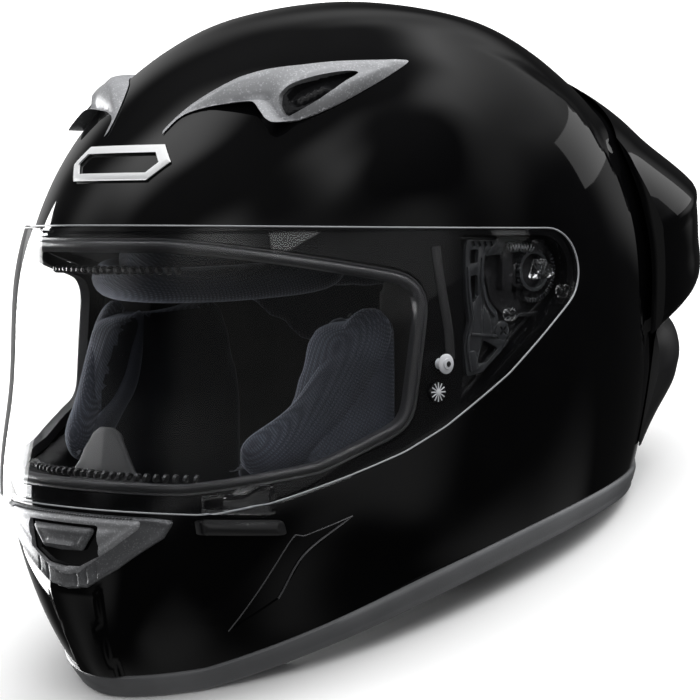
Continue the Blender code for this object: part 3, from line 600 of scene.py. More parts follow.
def rounded(corners: Outline, radius: float, steps: int = 4) -> Points:
    """An outline whose corners are rounded off.

    Args:
        corners: the outline's sharp corners.
        radius: the radius of a corner, where its edges have room for it.
        steps: how many chords each corner gets.

    Returns:
        The outline.
    """
    made = []
    for index, corner in enumerate(corners):
        here = Vector(corner)
        before = Vector(corners[index - 1]) - here
        after = Vector(corners[(index + 1) % len(corners)]) - here
        half = before.angle(after) / 2
        reach = min(radius / math.tan(half), before.length * 0.48, after.length * 0.48)
        start, end = here + before.normalized() * reach, here + after.normalized() * reach
        for k in range(steps + 1):
            t = k / steps
            made.append(tuple(start * (1 - t) ** 2 + here * 2 * t * (1 - t) + end * t * t))
    return made


def smooth_path(points: Sequence[Sequence[float]], steps: int = 8) -> np.ndarray:
    """A path rounded off through its own points."""
    rows = np.array(points, float)
    ends = np.vstack([2 * rows[0] - rows[1], rows, 2 * rows[-1] - rows[-2]])
    made = []
    for four in zip(ends, ends[1:], ends[2:], ends[3:]):
        made += [between(four, t) for t in np.linspace(0, 1, steps, endpoint=False)]
    return np.array([*made, rows[-1]])


def closed_curve(outline: Outline, steps: int) -> Points:
    """A closed outline rounded off through its own points."""
    return [tuple(p) for p in smooth_path([*outline, outline[0]], steps)[:-1]]


def mirrored(outline: Outline) -> Points:
    """A front-view outline on the other side."""
    return [(-u, v) for u, v in reversed(outline)]


def bevelled(obj: Object, width: float, segments: int = 2, angle: float = 30.0) -> Object:
    """Rounds a solid's sharp edges.

    Args:
        obj: the solid.
        width: the width of the rounding.
        segments: how many faces go across it.
        angle: the angle in degrees past which an edge is rounded.

    Returns:
        The solid.
    """
    modifier = obj.modifiers.new("edges", "BEVEL")
    modifier.width = width
    modifier.segments = segments
    modifier.limit_method = "ANGLE"
    modifier.angle_limit = math.radians(angle)
    modifier.harden_normals = False
    return bake(obj)


def sided(obj: Object, side: int) -> Object:
    """Mirrors a solid to the wearer's right where side is -1."""
    if side < 0:
        bm = bmesh.new()
        bm.from_mesh(obj.data)
        bmesh.ops.scale(bm, vec=(-1, 1, 1), verts=bm.verts)
        bmesh.ops.reverse_faces(bm, faces=bm.faces)
        bm.to_mesh(obj.data)
        bm.free()
    return obj


def base_layer(low: float, high: float) -> Object:
    """All that lies between two heights over the helmet's lower edge, which arches up at the sides."""
    steps = np.linspace(-125, 115, 41)
    edge = [(-FAR, 0.0), *((y, arch(y)) for y in steps), (FAR, 0.0)]
    outline = [(y, z + low) for y, z in edge] + [(y, z + high) for y, z in reversed(edge)]
    layer = prism(outline, "X", -FAR, FAR)
    layer.data.transform(base_matrix())
    return layer


def form_shading(obj: Object, heights: Sequence[float], shaped: bool = False) -> None:
    """Gives the faces that lie on the form, in head axes, the form's own smooth shading.

    Args:
        obj: the piece, before it is placed.
        heights: how far over the form its smooth faces may lie.
        shaped: whether the piece has the painted shell's creases.
    """
    mesh = obj.data
    points = np.array([v.co for v in mesh.vertices])
    shares, angles, offset = FORM.places(points)
    normals = FORM.surface_normals(shares, angles) if shaped else FORM.normals(shares, angles)
    if shaped:
        offset = offset - FORM.relief(FORM.base(shares, angles))
    good = np.min(np.abs(offset[:, None] - np.array(heights)[None]), 1) < 0.12
    custom = np.zeros((len(mesh.loops), 3))
    for polygon in mesh.polygons:
        here = list(polygon.vertices)
        facing = float(np.dot(normals[here].mean(0), polygon.normal))
        if abs(facing) > 0.85 and good[here].all():
            custom[list(polygon.loop_indices)] = normals[here] * math.copysign(1, facing)
    mesh.shade_smooth()
    mesh.set_sharp_from_angle(angle=math.radians(30))
    mesh.normals_split_custom_set(custom.tolist())


# --- finishes ---


@dataclass(frozen=True)
class BaseFinish:
    """What every finish has: a name, under which its material is made once and found again."""

    name: str

    def build(self) -> bpy.types.Material:
        """Makes the finish's material, or finds it where it is already made."""
        made = bpy.data.materials.get(self.name)
        if made is None:
            made = bpy.data.materials.new(self.name)
            made.use_nodes = True
            self.dress(NodeBuilder(made.node_tree))
        return made

    def dress(self, tree: "NodeBuilder") -> None:
        """Sets the shader and links its patterns."""
        raise NotImplementedError


@dataclass(frozen=True)
class Finish(BaseFinish):
    """A moulded or painted finish: its colour, gloss and fine grain, with small variations of each."""

    colour: tuple[float, float, float]
    roughness: float
    slot: str
    metallic: float = 0.0
    coat: float = 0.0
    specular: float = 0.5
    grain: float = 0.0
    grain_size: float = 0.4
    mottle: float = 0.12
    smudge: float = 0.04

    def dress(self, tree: "NodeBuilder") -> None:
        """Sets the shader and links the colour, the gloss and the grain."""
        tree.settings({
            "Metallic": self.metallic, "Coat Weight": self.coat, "Coat Roughness": 0.03,
            "Specular IOR Level": self.specular,
        })
        place = tree.object_place()
        cloud = tree.noise(place, 0.035, 3.0)
        low = tuple(c * (1 - self.mottle) for c in self.colour)
        high = tuple(c * (1 + self.mottle) for c in self.colour)
        self.colouring(tree, place, tree.ramp(cloud, low, high))
        wear = tree.span(
            tree.noise(place, 0.012, 5.0), self.roughness - self.smudge / 2, self.roughness + self.smudge / 2
        )
        tree.link(wear, tree.shader.inputs["Roughness"])
        if self.grain:
            fine = tree.noise(place, self.grain_size * MM, 2.0)
            tree.bump(fine, self.grain, 0.00012)

    def colouring(self, tree: "NodeBuilder", place: Socket, colour: Socket) -> None:
        """Sends the finish's colour to the shader."""
        tree.link(colour, tree.shader.inputs["Base Color"])


@dataclass(frozen=True)
class FlakeFinish(Finish):
    """A metallic paint with bright flakes."""

    flake: float = 0.5

    def colouring(self, tree: "NodeBuilder", place: Socket, colour: Socket) -> None:
        """Brightens single flakes."""
        cells = tree.cells(place, 0.0005)
        bright = tuple(min(1.0, c * (1 + self.flake) + 0.03) for c in self.colour)
        mixed = tree.mix(tree.span(cells, 0.0, 1.0), colour, bright)
        tree.link(mixed, tree.shader.inputs["Base Color"])


@dataclass(frozen=True)
class ClearFinish(BaseFinish):
    """Clear or tinted moulded polycarbonate."""

    tint: tuple[float, float, float]
    roughness: float = 0.0
    bending: float = 1.18
    slot: str = "visor_clear"

    def dress(self, tree: "NodeBuilder") -> None:
        """Sets the shader and links the tint and the haze."""
        shader = tree.shader
        tree.settings({"Transmission Weight": 1.0, "IOR": self.bending})
        place = tree.object_place()
        cloud = tree.noise(place, 0.04, 2.0)
        darker = tuple(c * 0.985 for c in self.tint)
        tree.link(tree.ramp(cloud, darker, self.tint), shader.inputs["Base Color"])
        haze = tree.noise(place, 0.02, 3.0)
        tree.link(tree.span(haze, self.roughness, self.roughness + 0.012), shader.inputs["Roughness"])


class Cloth(Enum):
    """How a cloth is made."""

    TWILL = "twill"
    VELVET = "velvet"
    MESH = "mesh"
    WEBBING = "webbing"


@dataclass(frozen=True)
class ClothFinish(BaseFinish):
    """A woven or brushed cloth."""

    colour: tuple[float, float, float]
    weave: Cloth
    slot: str = "comfort_cloth"
    pitch: float = 1.4
    sheen: float = 0.35

    def dress(self, tree: "NodeBuilder") -> None:
        """Sets the shader and links the colour, the gloss and the threads, with painted shade in the low
        parts of the weave.
        """
        shader = tree.shader
        tree.settings({
            "Sheen Weight": self.sheen, "Sheen Roughness": 0.4, "Sheen Tint": (0.75, 0.8, 0.95, 1.0),
            "Specular IOR Level": 0.15,
        })
        place = tree.object_place()
        cloud = tree.noise(place, 0.03, 4.0)
        dark = tuple(c * 0.7 for c in self.colour)
        bright = tuple(c * 1.3 for c in self.colour)
        base = tree.ramp(cloud, dark, bright)
        weave = self.threads(tree, place)
        # The colour darkens where the threads lie low: partly the cloth's own weave pattern, partly painted
        # shade in its grooves.
        tree.link(tree.mix(weave, tree.scaled(base, 0.35), base), shader.inputs["Base Color"])
        tree.link(tree.span(cloud, 0.82, 0.97), shader.inputs["Roughness"])
        tree.bump(weave, 0.75 if self.weave is not Cloth.VELVET else 0.35, 0.00035)

    def threads(self, tree: "NodeBuilder", place: Socket) -> Socket:
        """The height of the cloth's threads, from 0 to 1."""
        if self.weave is Cloth.VELVET:
            return tree.noise(place, 0.0006, 3.0)
        pitch = self.pitch * MM
        if self.weave is Cloth.TWILL:
            one = tree.wave(place, (1.0, 0.6, 0.9), pitch)
            two = tree.wave(place, (-0.5, 1.0, -0.8), pitch * 0.9)
        elif self.weave is Cloth.MESH:
            one = tree.wave(place, (0.3, 1.0, 0.2), pitch)
            two = tree.wave(place, (0.2, -0.3, 1.0), pitch)
        else:
            one = tree.wave(place, (1.0, 0.25, 0.0), pitch)
            two = tree.wave(place, (0.0, 1.0, 0.35), pitch * 0.7)
        both = tree.math("MULTIPLY", one, two)
        fuzz = tree.noise(place, 0.0005, 2.0)
        return tree.math("ADD", tree.math("MULTIPLY", both, 0.75), tree.math("MULTIPLY", fuzz, 0.25))


class NodeBuilder:
    """Adds shader nodes to a material or to the sky."""

    def __init__(self, tree: bpy.types.NodeTree) -> None:
        """Starts from the tree's own shader node."""
        self.tree = tree
        self.new = tree.nodes.new
        self.shader = tree.nodes.get("Principled BSDF") or tree.nodes["Background"]

    def settings(self, values: dict) -> None:
        """Sets plain values on the shader's own sockets."""
        for name, value in values.items():
            self.shader.inputs[name].default_value = value

    def link(self, source: Socket, target: Socket) -> None:
        """Joins two sockets."""
        self.tree.links.new(source, target)

    def object_place(self) -> Socket:
        """Where a point lies on the piece, in metres."""
        return self.new("ShaderNodeTexCoord").outputs["Object"]

    def noise(self, place: Socket, size: float, detail: float) -> Socket:
        """Noise whose features have a size in metres."""
        node = self.new("ShaderNodeTexNoise")
        node.inputs["Scale"].default_value = 1 / size
        node.inputs["Detail"].default_value = detail
        self.link(place, node.inputs["Vector"])
        return node.outputs["Fac"]

    def cells(self, place: Socket, size: float) -> Socket:
        """A random value for each small cell of a given size in metres."""
        node = self.new("ShaderNodeTexVoronoi")
        node.inputs["Scale"].default_value = 1 / size
        self.link(place, node.inputs["Vector"])
        split = self.new("ShaderNodeSeparateColor")
        self.link(node.outputs["Color"], split.inputs["Color"])
        return self.math("POWER", split.outputs["Red"], 6.0)

    def wave(self, place: Socket, direction: Sequence[float], pitch: float) -> Socket:
        """Even ridges across a direction, from 0 to 1."""
        unit = Vector(direction).normalized()
        dot = self.new("ShaderNodeVectorMath")
        dot.operation = "DOT_PRODUCT"
        dot.inputs[1].default_value = unit * (math.tau / pitch)
        self.link(place, dot.inputs[0])
        wave = self.math("SINE", dot.outputs["Value"], 0.0)
        return self.math("MULTIPLY_ADD", wave, 0.5, 0.5)

    def math(self, operation: str, *values: "Socket | float") -> Socket:
        """One step of arithmetic on sockets or plain numbers."""
        node = self.new("ShaderNodeMath")
        node.operation = operation
        for socket, value in zip(node.inputs, values):
            if isinstance(value, (int, float)):
                socket.default_value = value
            else:
                self.link(value, socket)
        return node.outputs[0]

    def span(self, value: Socket, low: float, high: float) -> Socket:
        """Maps noise to a range."""
        return self.mapped(value, (0.3, 0.7), (max(low, 0.0), high))

    def mapped(
        self, value: Socket, source: Pair, target: Pair,
        curve: str = "LINEAR",
    ) -> Socket:
        """Maps one range to another.

        Args:
            value: what is mapped.
            source: the range that it has.
            target: the range that it gets.
            curve: the kind of interpolation between them.

        Returns:
            The mapped value.
        """
        node = self.new("ShaderNodeMapRange")
        node.interpolation_type = curve
        for name, limit in zip(("From Min", "From Max", "To Min", "To Max"), (*source, *target)):
            node.inputs[name].default_value = limit
        self.link(value, node.inputs["Value"])
        return node.outputs["Result"]

    def ramp(self, value: Socket, low: Sequence[float], high: Sequence[float]) -> Socket:
        """Maps noise to a blend of two colours."""
        node = self.new("ShaderNodeValToRGB")
        node.color_ramp.elements[0].position, node.color_ramp.elements[1].position = 0.3, 0.7
        node.color_ramp.elements[0].color = (*low, 1.0)
        node.color_ramp.elements[1].color = (*high, 1.0)
        self.link(value, node.inputs["Fac"])
        return node.outputs["Color"]

    def mix(self, share: Socket, first: Socket, second: "Socket | Sequence[float]") -> Socket:
        """Blends two colours."""
        node = self.new("ShaderNodeMix")
        node.data_type = "RGBA"
        self.link(share, node.inputs["Factor"])
        self.link(first, node.inputs[6])
        if isinstance(second, tuple):
            node.inputs[7].default_value = (*second, 1.0)
        else:
            self.link(second, node.inputs[7])
        return node.outputs[2]

    def scaled(self, colour: Socket, share: float) -> Socket:
        """Darkens a colour."""
        node = self.new("ShaderNodeVectorMath")
        node.operation = "SCALE"
        node.inputs["Scale"].default_value = share
        self.link(colour, node.inputs[0])
        return node.outputs["Vector"]

    def bump(self, height: Socket, strength: float, distance: float) -> None:
        """Raises the surface by a height."""
        node = self.new("ShaderNodeBump")
        node.inputs["Strength"].default_value = strength
        node.inputs["Distance"].default_value = distance
        self.link(height, node.inputs["Height"])
        self.link(node.outputs["Normal"], self.shader.inputs["Normal"])


PAINT = Finish(
    "gloss_black_paint", (0.0022, 0.0022, 0.0025), 0.035, "shell_gloss", specular=0.26, smudge=0.02,
    mottle=0.2
)
SATIN = Finish(
    "satin_black_moulding", (0.016, 0.016, 0.017), 0.36, "shell_gloss", specular=0.4, grain=0.25,
    grain_size=0.5
)
FLAKE = FlakeFinish(
    "gunmetal_flake", (0.36, 0.365, 0.38), 0.38, "vent_gunmetal", metallic=0.3, specular=0.4, grain=0.25,
    grain_size=0.35
)
MASK = FlakeFinish(
    "gunmetal_dark", (0.13, 0.133, 0.14), 0.32, "vent_gunmetal", metallic=0.25, grain=0.2, grain_size=0.4
)
TRIM = Finish(
    "trim_grey_rubber", (0.16, 0.163, 0.17), 0.40, "trim_grey", grain=0.5, grain_size=0.6, mottle=0.2
)
RUBBER = Finish(
    "satin_rubber", (0.020, 0.020, 0.022), 0.34, "seal_rubber", grain=0.12, grain_size=0.7, mottle=0.15
)
SOFT_RUBBER = Finish(
    "matt_rubber", (0.032, 0.033, 0.035), 0.62, "seal_rubber", grain=0.3, grain_size=0.6, mottle=0.15
)
MOULDING = Finish(
    "mechanism_black_moulding", (0.010, 0.010, 0.011), 0.24, "mechanism_black", grain=0.15, grain_size=0.5
)
LEVER = Finish(
    "lever_grey_moulding", (0.020, 0.021, 0.023), 0.22, "mechanism_black", grain=0.25, grain_size=0.5
)
STEEL = Finish("brushed_steel", (0.55, 0.55, 0.57), 0.28, "steel", metallic=1.0, grain=0.1, grain_size=0.3)
EMBLEM = Finish("emblem_silver", (0.86, 0.87, 0.88), 0.35, "vent_gunmetal", metallic=0.1, mottle=0.05)
FOAM = Finish("foam_black", (0.014, 0.014, 0.015), 0.85, "foam", grain=0.9, grain_size=2.2, mottle=0.35)
CLEAR = ClearFinish("visor_polycarbonate", (0.97, 0.975, 0.98))
# Dark grey, far above the black paint: a painted highlight on the chin creases' lips.
LIP_HIGHLIGHT = Finish("painted_lip_highlight", (0.10, 0.10, 0.105), 0.12, "shell_gloss")
# Opaque light grey: a painted highlight along the clear visor's edge.
EDGE_HIGHLIGHT = Finish("painted_edge_highlight", (0.42, 0.43, 0.45), 0.12, "visor_clear", specular=0.8)
PEARL = Finish("milky_polycarbonate", (0.62, 0.63, 0.66), 0.14, "visor_clear", specular=0.8)
CLEAR_PART = ClearFinish("clear_moulding", (0.93, 0.94, 0.95), 0.03, 1.45)
TWILL = ClothFinish("twill_cloth", (0.066, 0.073, 0.094), Cloth.TWILL, pitch=1.1)
VELVET = ClothFinish("brushed_cloth", (0.034, 0.038, 0.050), Cloth.VELVET, sheen=0.5)
# A darker copy of the brushed cloth: painted shade for the cheek pads' inner faces, which lie in shadow
# inside the helmet.
PAINTED_SHADE_VELVET = ClothFinish("brushed_cloth_painted_shade", (0.010, 0.011, 0.014), Cloth.VELVET, sheen=0.15)
SPACER = ClothFinish("spacer_mesh_cloth", (0.034, 0.038, 0.050), Cloth.MESH, pitch=1.1)
BAND = ClothFinish(
    "black_webbing", (0.012, 0.012, 0.013), Cloth.WEBBING, slot="webbing", pitch=1.5, sheen=0.1
)
THREAD = ClothFinish("grey_thread", (0.16, 0.17, 0.19), Cloth.WEBBING, pitch=0.5, sheen=0.2)


def place_piece(
    obj: Object, name: str, finish: BaseFinish, body: str = "shell", replaces: Sequence[str] = (),
    sharp: Optional[float] = 35.0,
) -> Object:
    """Names and dresses a finished piece, puts it in the frame and lets it ride on a body.

    Args:
        obj: the piece, in head axes and millimetres.
        name: the piece's name.
        finish: what it is made of.
        body: the body that it moves with.
        replaces: the frame's nodes that it stands for.
        sharp: the angle past which an edge stays sharp, or None to keep the piece's own shading.

    Returns:
        The piece, in the frame's axes and metres.
    """
    obj.name = name
    obj.data.name = name
    obj.data.transform(frame_matrix())
    if sharp is not None:
        obj.data.shade_smooth()
        obj.data.set_sharp_from_angle(angle=math.radians(sharp))
    obj.data.materials.clear()
    obj.data.materials.append(finish.build())
    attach(obj, body)
    if replaces:
        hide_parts(*replaces)
    LOG.info("%s: %d faces on %s", name, len(obj.data.polygons), body)
    return obj


# --- the shell and its trim ---


def port_outline(grow: float) -> Points:
    """The eye port in side view, open to the front."""
    top, rear, foot = 10.0, -63.0, -86.0
    corners = (
        (-FAR, top + grow), (rear - 77, top - 1 + grow), (rear + grow, top - 16 + grow),
        (rear - 6 + grow, foot + 26 - grow), (rear - 40, foot + 9 - grow), (rear - 80, foot - grow),
        (-FAR, foot - grow),
    )
    return rounded(corners, 12.0 + grow)


def visor_outline(inset: float) -> Points:
    """The visor in side view: round about the pivot, then along its lower edge to the front."""
    edge = (
        (-22.0, -42.5), (-52.0, -63.5), (-70.0, -73.5), (-93.0, -83.0), (-117.0, -92.5),
        (-138.0, VISOR_BOTTOM)
    )
    ends = arc((0, 0), VISOR_TOP - inset, 90, -50, 20)
    lower = [(y - 0.64 * inset, z + 0.77 * inset) for y, z in edge]
    return [*ends, *lower, (-FAR, inset + VISOR_BOTTOM), (-FAR, VISOR_TOP - inset)]


def pocket_outline(grow: float) -> Points:
    """The recess for the visor mechanism in side view."""
    radius, front = 15.0 + grow, -43.0 - grow
    foot = arc((0, 0), radius, 90, -50, 16)
    drop = (foot[-1][0] - front) * math.tan(math.radians(40))
    return [*foot, (front, foot[-1][1] - drop), (front, radius)]


POCKET_FLOOR = FORM.side_x(0, 0) - 12.0


def pockets(grow: float) -> tuple[Object, Object]:
    """Both side recesses as solids."""
    depth = POCKET_FLOOR - grow
    return prism(pocket_outline(grow), "X", depth, FAR), prism(pocket_outline(grow), "X", -FAR, -depth)


@dataclass
class OuterShell:
    """The painted shell, with its eye port, mechanism recesses, visor seat, creases and openings."""

    wall: float = 3.6
    seat_depth: float = 0.45
    gap: float = 0.35
    wedge: Outline = (
        (-88.5, -99.5), (-105.0, -107.0), (-110.5, -110.0), (-121.0, -148.0), (-108.7, -133.9),
        (-104.0, -115.0)
    )

    def build(self) -> None:
        """Makes the shell and the dark seat that the visor closes on."""
        rings, columns = ((170, 220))
        shell = form_solid(0.0, rings, columns, shaped=True)
        cut(shell, *pockets(0.0))
        cut(shell, self.shallow(visor_outline(-1.0), self.seat_depth))
        room = cut(form_solid(-self.wall, 50, 80), *pockets(self.wall))
        cut(shell, room, prism(port_outline(5.0 + self.gap), "X", -FAR, FAR))
        cut(shell, base_layer(-FAR, TRIM_HEIGHT + self.gap))
        cut(shell, prism(((-10, -108), (-10, -114), (10, -114), (10, -108)), "Y", -FAR, -60))
        for side in (1, -1):
            cut(shell, sided(self.vent_hole(), side), sided(self.crease(), side))
        self.shade(shell)
        self.lips()
        place_piece(shell, "painted_shell", PAINT, replaces=("outer_shell",), sharp=None)
        shell.data.materials.append(SATIN.build())

    def shallow(self, outline: Outline, depth: float) -> Object:
        """All above a depth in the shell's face within a side-view outline."""
        return cut(prism(outline, "X", -FAR, FAR), form_solid(-depth, 90, 140))

    def vent_hole(self) -> Object:
        """The air hole under a brow vent's slider."""
        return bar(3.2, (70, -150, 70), (62, -40, 60), 16)

    def crease(self) -> Object:
        """The thin recessed wedge on a side of the chin."""
        return cut(prism(self.wedge, "X", 20, FAR), form_solid(-0.9, 90, 140))

    def lips(self) -> None:
        """The crisp lips of the chin's creases, in grey: a painted highlight on lips that are the shell's
        black paint.
        """
        profile = [(-0.35, -0.7), (-0.3, 0.0), (0.0, 0.22), (0.3, 0.0), (0.35, -0.7)]
        tip, outer, corner, foot, inner_foot, inner = self.wedge
        for number, corners in enumerate(((tip, outer, corner, foot), (tip, inner, inner_foot))):
            flat = resampled(smooth_path(corners, 6), 1.5)
            path = np.array([FORM.on_side(y, z) for y, z in flat])
            for side, word in SIDES:
                lip = sided(moulding(path, profile, False), side)
                place_piece(lip, f"chin_lip_{word}_{number}", LIP_HIGHLIGHT, sharp=60.0)

    def shade(self, shell: Object) -> None:
        """Smooths the shell's faces along its form and gives the visor's seat its own finish."""
        form_shading(shell, (0.0, -self.seat_depth, -0.9), shaped=True)
        seat = np.array(resampled(np.array(visor_outline(-1.0)), 2.0))
        for polygon in shell.data.polygons:
            centre = polygon.center
            if (abs(centre.x) > 20 or centre.y < -60) and within(seat, centre.y, centre.z):
                polygon.material_index = 1


def within(outline: np.ndarray, u: float, v: float) -> bool:
    """Whether a place lies inside a flat closed outline."""
    first, second = outline, np.roll(outline, -1, 0)
    crossing = (first[:, 1] > v) != (second[:, 1] > v)
    rise = np.where(second[:, 1] == first[:, 1], 1e-9, second[:, 1] - first[:, 1])
    at = first[:, 0] + (v - first[:, 1]) / rise * (second[:, 0] - first[:, 0])
    return bool((crossing & (u < at)).sum() % 2)


@dataclass
class EyePort:
    """The rubber moulding round the eye port: a round bead inside a flat lip."""

    width: float = 5.0
    spacing: float = 2.6

    def build(self) -> None:
        """Makes the seal."""
        path = side_loop(port_outline(0.0), self.spacing)
        lean = 1.0 if self.opens_left(path) else -1.0
        bead = arc((2.0, -0.95), 1.9, 180, 15, 8)
        profile = [(0.1, -5.4), (0.1, -0.95), *bead[1:], (4.1, -0.2), (4.9, -0.25), (4.9, -5.4)]
        seal = moulding(path, [(lean * a, h) for a, h in profile])
        place_piece(seal, "eyeport_seal", RUBBER, replaces=("eyeport_gasket",), sharp=50.0)

    def opens_left(self, path: np.ndarray) -> bool:
        """Whether a path's left side points away from the port."""
        _, across = framed(path, True)
        return float((across * (path - path.mean(0))).sum()) > 0


@dataclass
class BaseTrim:
    """The grey rubber edge round the helmet's base, with a raised lip at its lower edge."""

    def build(self) -> None:
        """Makes the edge as a swept moulding."""
        count = 260
        angles = np.linspace(0, math.tau, count, endpoint=False)
        low, high = self.ring(angles, 0.0), self.ring(angles, TRIM_HEIGHT)
        normal, _ = framed(high, True)
        profile = [
            (0.02, -8.0), (0.02, 0.2), (0.10, 1.1), (0.18, 1.35), (0.30, 1.15), (0.36, 1.15), (0.50, 1.45),
            (0.84, 1.45), (0.95, 1.1), (1.0, 0.3), (1.0, -7.6),
        ]
        shares = np.array([p[0] for p in profile])
        grows = np.array([p[1] for p in profile])
        rings = low[:, None] * (1 - shares)[None, :, None] + high[:, None] * shares[None, :, None]
        rings = rings + normal[:, None] * grows[None, :, None]
        place_piece(sweep(rings, True), "base_edging", TRIM, replaces=("base_trim",), sharp=40.0)

    def ring(self, angles: np.ndarray, height: float) -> np.ndarray:
        """The form's outline at a height over the base edge."""
        shares = np.full(len(angles), 0.2)
        turn = np.array(base_matrix().inverted())
        low, high = np.full(len(angles), 0.02), np.full(len(angles), 0.6)
        for _ in range(34):
            shares = (low + high) / 2
            points = FORM.base(shares, angles)
            stood = points @ turn[:3, :3].T + turn[:3, 3]
            above = stood[:, 2] > arch(stood[:, 1]) + height
            low, high = np.where(above, low, shares), np.where(above, shares, high)
        return FORM.base(shares, angles)


# --- visor ---


@dataclass
class Visor:
    """The clear visor with a grey strip that paints its edge's highlight, pivot lugs and bosses, and the
    fittings on it.
    """

    clearance: float = 1.6
    wall: float = 2.6
    lug: float = 6.0
    post_place: Pair = (-54.0, -37.5)
    pin_place: Pair = (-57.0, -49.0)

    def build(self) -> None:
        """Makes the visor and what rides on it."""
        low, high = self.clearance, self.clearance + self.wall
        rings, columns = ((120, 170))
        shield = slab(low, high, rings, columns)
        keep(shield, prism(visor_outline(0.0), "X", -FAR, FAR))
        for side in (1, -1):
            for y, z in (self.post_place, self.pin_place):
                reach = FORM.side_x(y, z)
                cut(shield, bar(2.7, (side * (reach - 9), y, z), (side * (reach + 14), y, z), 20))
        form_shading(shield, (low, high))
        place_piece(shield, "visor_shield", CLEAR, "visor", replaces=("visor",), sharp=None)
        shield.visible_shadow = False
        self.edge()
        for side, word in SIDES:
            self.fittings(side, word)

    def edge(self) -> None:
        """A light grey strip all round the visor: a painted highlight for the bright line that its clear edge
        shows.
        """
        outline = visor_outline(0.35)
        path = side_loop([outline[-1], *outline[:-1]], 2.4)
        top = self.clearance + self.wall
        half = [(-0.3, top - 0.5), (-0.3, top + 0.05), (-0.12, top + 0.18)]
        profile = [*half, *mirrored(half)]
        made = place_piece(moulding(path, profile), "visor_edge", EDGE_HIGHLIGHT, "visor", sharp=60.0)
        made.visible_shadow = False

    def fittings(self, side: int, word: str) -> None:
        """The lug and bosses of a side, its tear-off post and its anti-fog pin."""
        inner = POCKET_FLOOR + 6.65
        outer = FORM.side_x(0, 0) + self.clearance - 0.1
        corners = [(self.lug * math.cos(a), self.lug * math.sin(a)) for a in np.radians((100, 220, 340))]
        lug = prism(rounded(corners, 1.2, 3), "X", inner, outer)
        small = [(0.52 * y, 0.52 * z) for y, z in corners]
        cut(lug, prism(rounded(small, 0.6, 3), "X", inner - 1, outer - 1.5))
        ring = [(2.7, 0.0), (2.7, 3.2), (2.3, 3.5), (1.7, 3.5), (1.4, 3.2), (1.4, 0.0), (2.7, 0.0)]
        bosses = [
            lathe(ring, (FORM.side_x(y, z) + self.clearance - 3.6, y, z), (1, 0, 0), 24)
            for y, z in ((-19.3, -18.0), (11.4, -8.6))
        ]
        for piece, name in zip((bevelled(lug, 0.25), joined(*bosses)), ("lug", "bosses")):
            made = place_piece(sided(piece, side), f"visor_{name}_{word}", CLEAR_PART, "visor")
            made.visible_shadow = False
        self.post(side, word)
        self.pin(side, word)

    def seat(self, place: Pair) -> Vector:
        """Where a fitting's foot lies on the visor's outer face."""
        foot = Vector(FORM.on_side(*place, 0.0))
        share, angle, _ = FORM.places(np.array(foot))
        normal = Vector(FORM.normals(share, angle))
        return foot + normal * (self.clearance + self.wall)

    def post(self, side: int, word: str) -> None:
        """The milky post that a tear-off film hooks on, with a dark core."""
        seat = self.seat(self.post_place)
        profile = [
            (2.3, -3.4), (2.3, 0.35), (3.4, 0.35), (4.1, 0.7), (4.15, 1.3), (3.6, 1.7), (2.4, 1.9),
            (2.2, 2.4), (0.9, 2.6)
        ]
        body = sided(lathe(profile, seat, (1, 0, 0), 28), side)
        place_piece(body, f"tear_off_post_{word}_body", PEARL, "visor", (f"tear_off_post_{word}",))
        core = [(1.1, 2.2), (1.15, 2.75), (0.7, 2.95), (0.45, 2.6)]
        place_piece(
            sided(lathe(core, seat, (1, 0, 0), 20), side), f"tear_off_post_{word}_core", RUBBER, "visor"
        )

    def pin(self, side: int, word: str) -> None:
        """The spoked disc of the anti-fog lens's pin."""
        seat = self.seat(self.pin_place)
        disc = lathe(
            [(2.2, -3.0), (2.2, 0.3), (4.2, 0.3), (4.2, 0.75), (3.6, 0.95), (1.4, 0.95)], seat, (1, 0, 0), 36
        )
        spokes = []
        for k in range(12):
            angle = math.tau * k / 12
            way = Vector((0, math.cos(angle), math.sin(angle)))
            spokes.append(
                bar(0.28, seat + way * 1.2 + Vector((1.0, 0, 0)), seat + way * 3.9 + Vector((0.9, 0, 0)), 6)
            )
        hub = lathe([(1.3, 0.7), (1.3, 1.35), (0.9, 1.5)], seat, (1, 0, 0), 18)
        place_piece(
            sided(disc, side), f"antifog_pin_{word}_disc", MOULDING, "visor", (f"antifog_pin_{word}",)
        )
        place_piece(sided(joined(hub, *spokes), side), f"antifog_pin_{word}_spokes", PEARL, "visor")


# --- studio ---


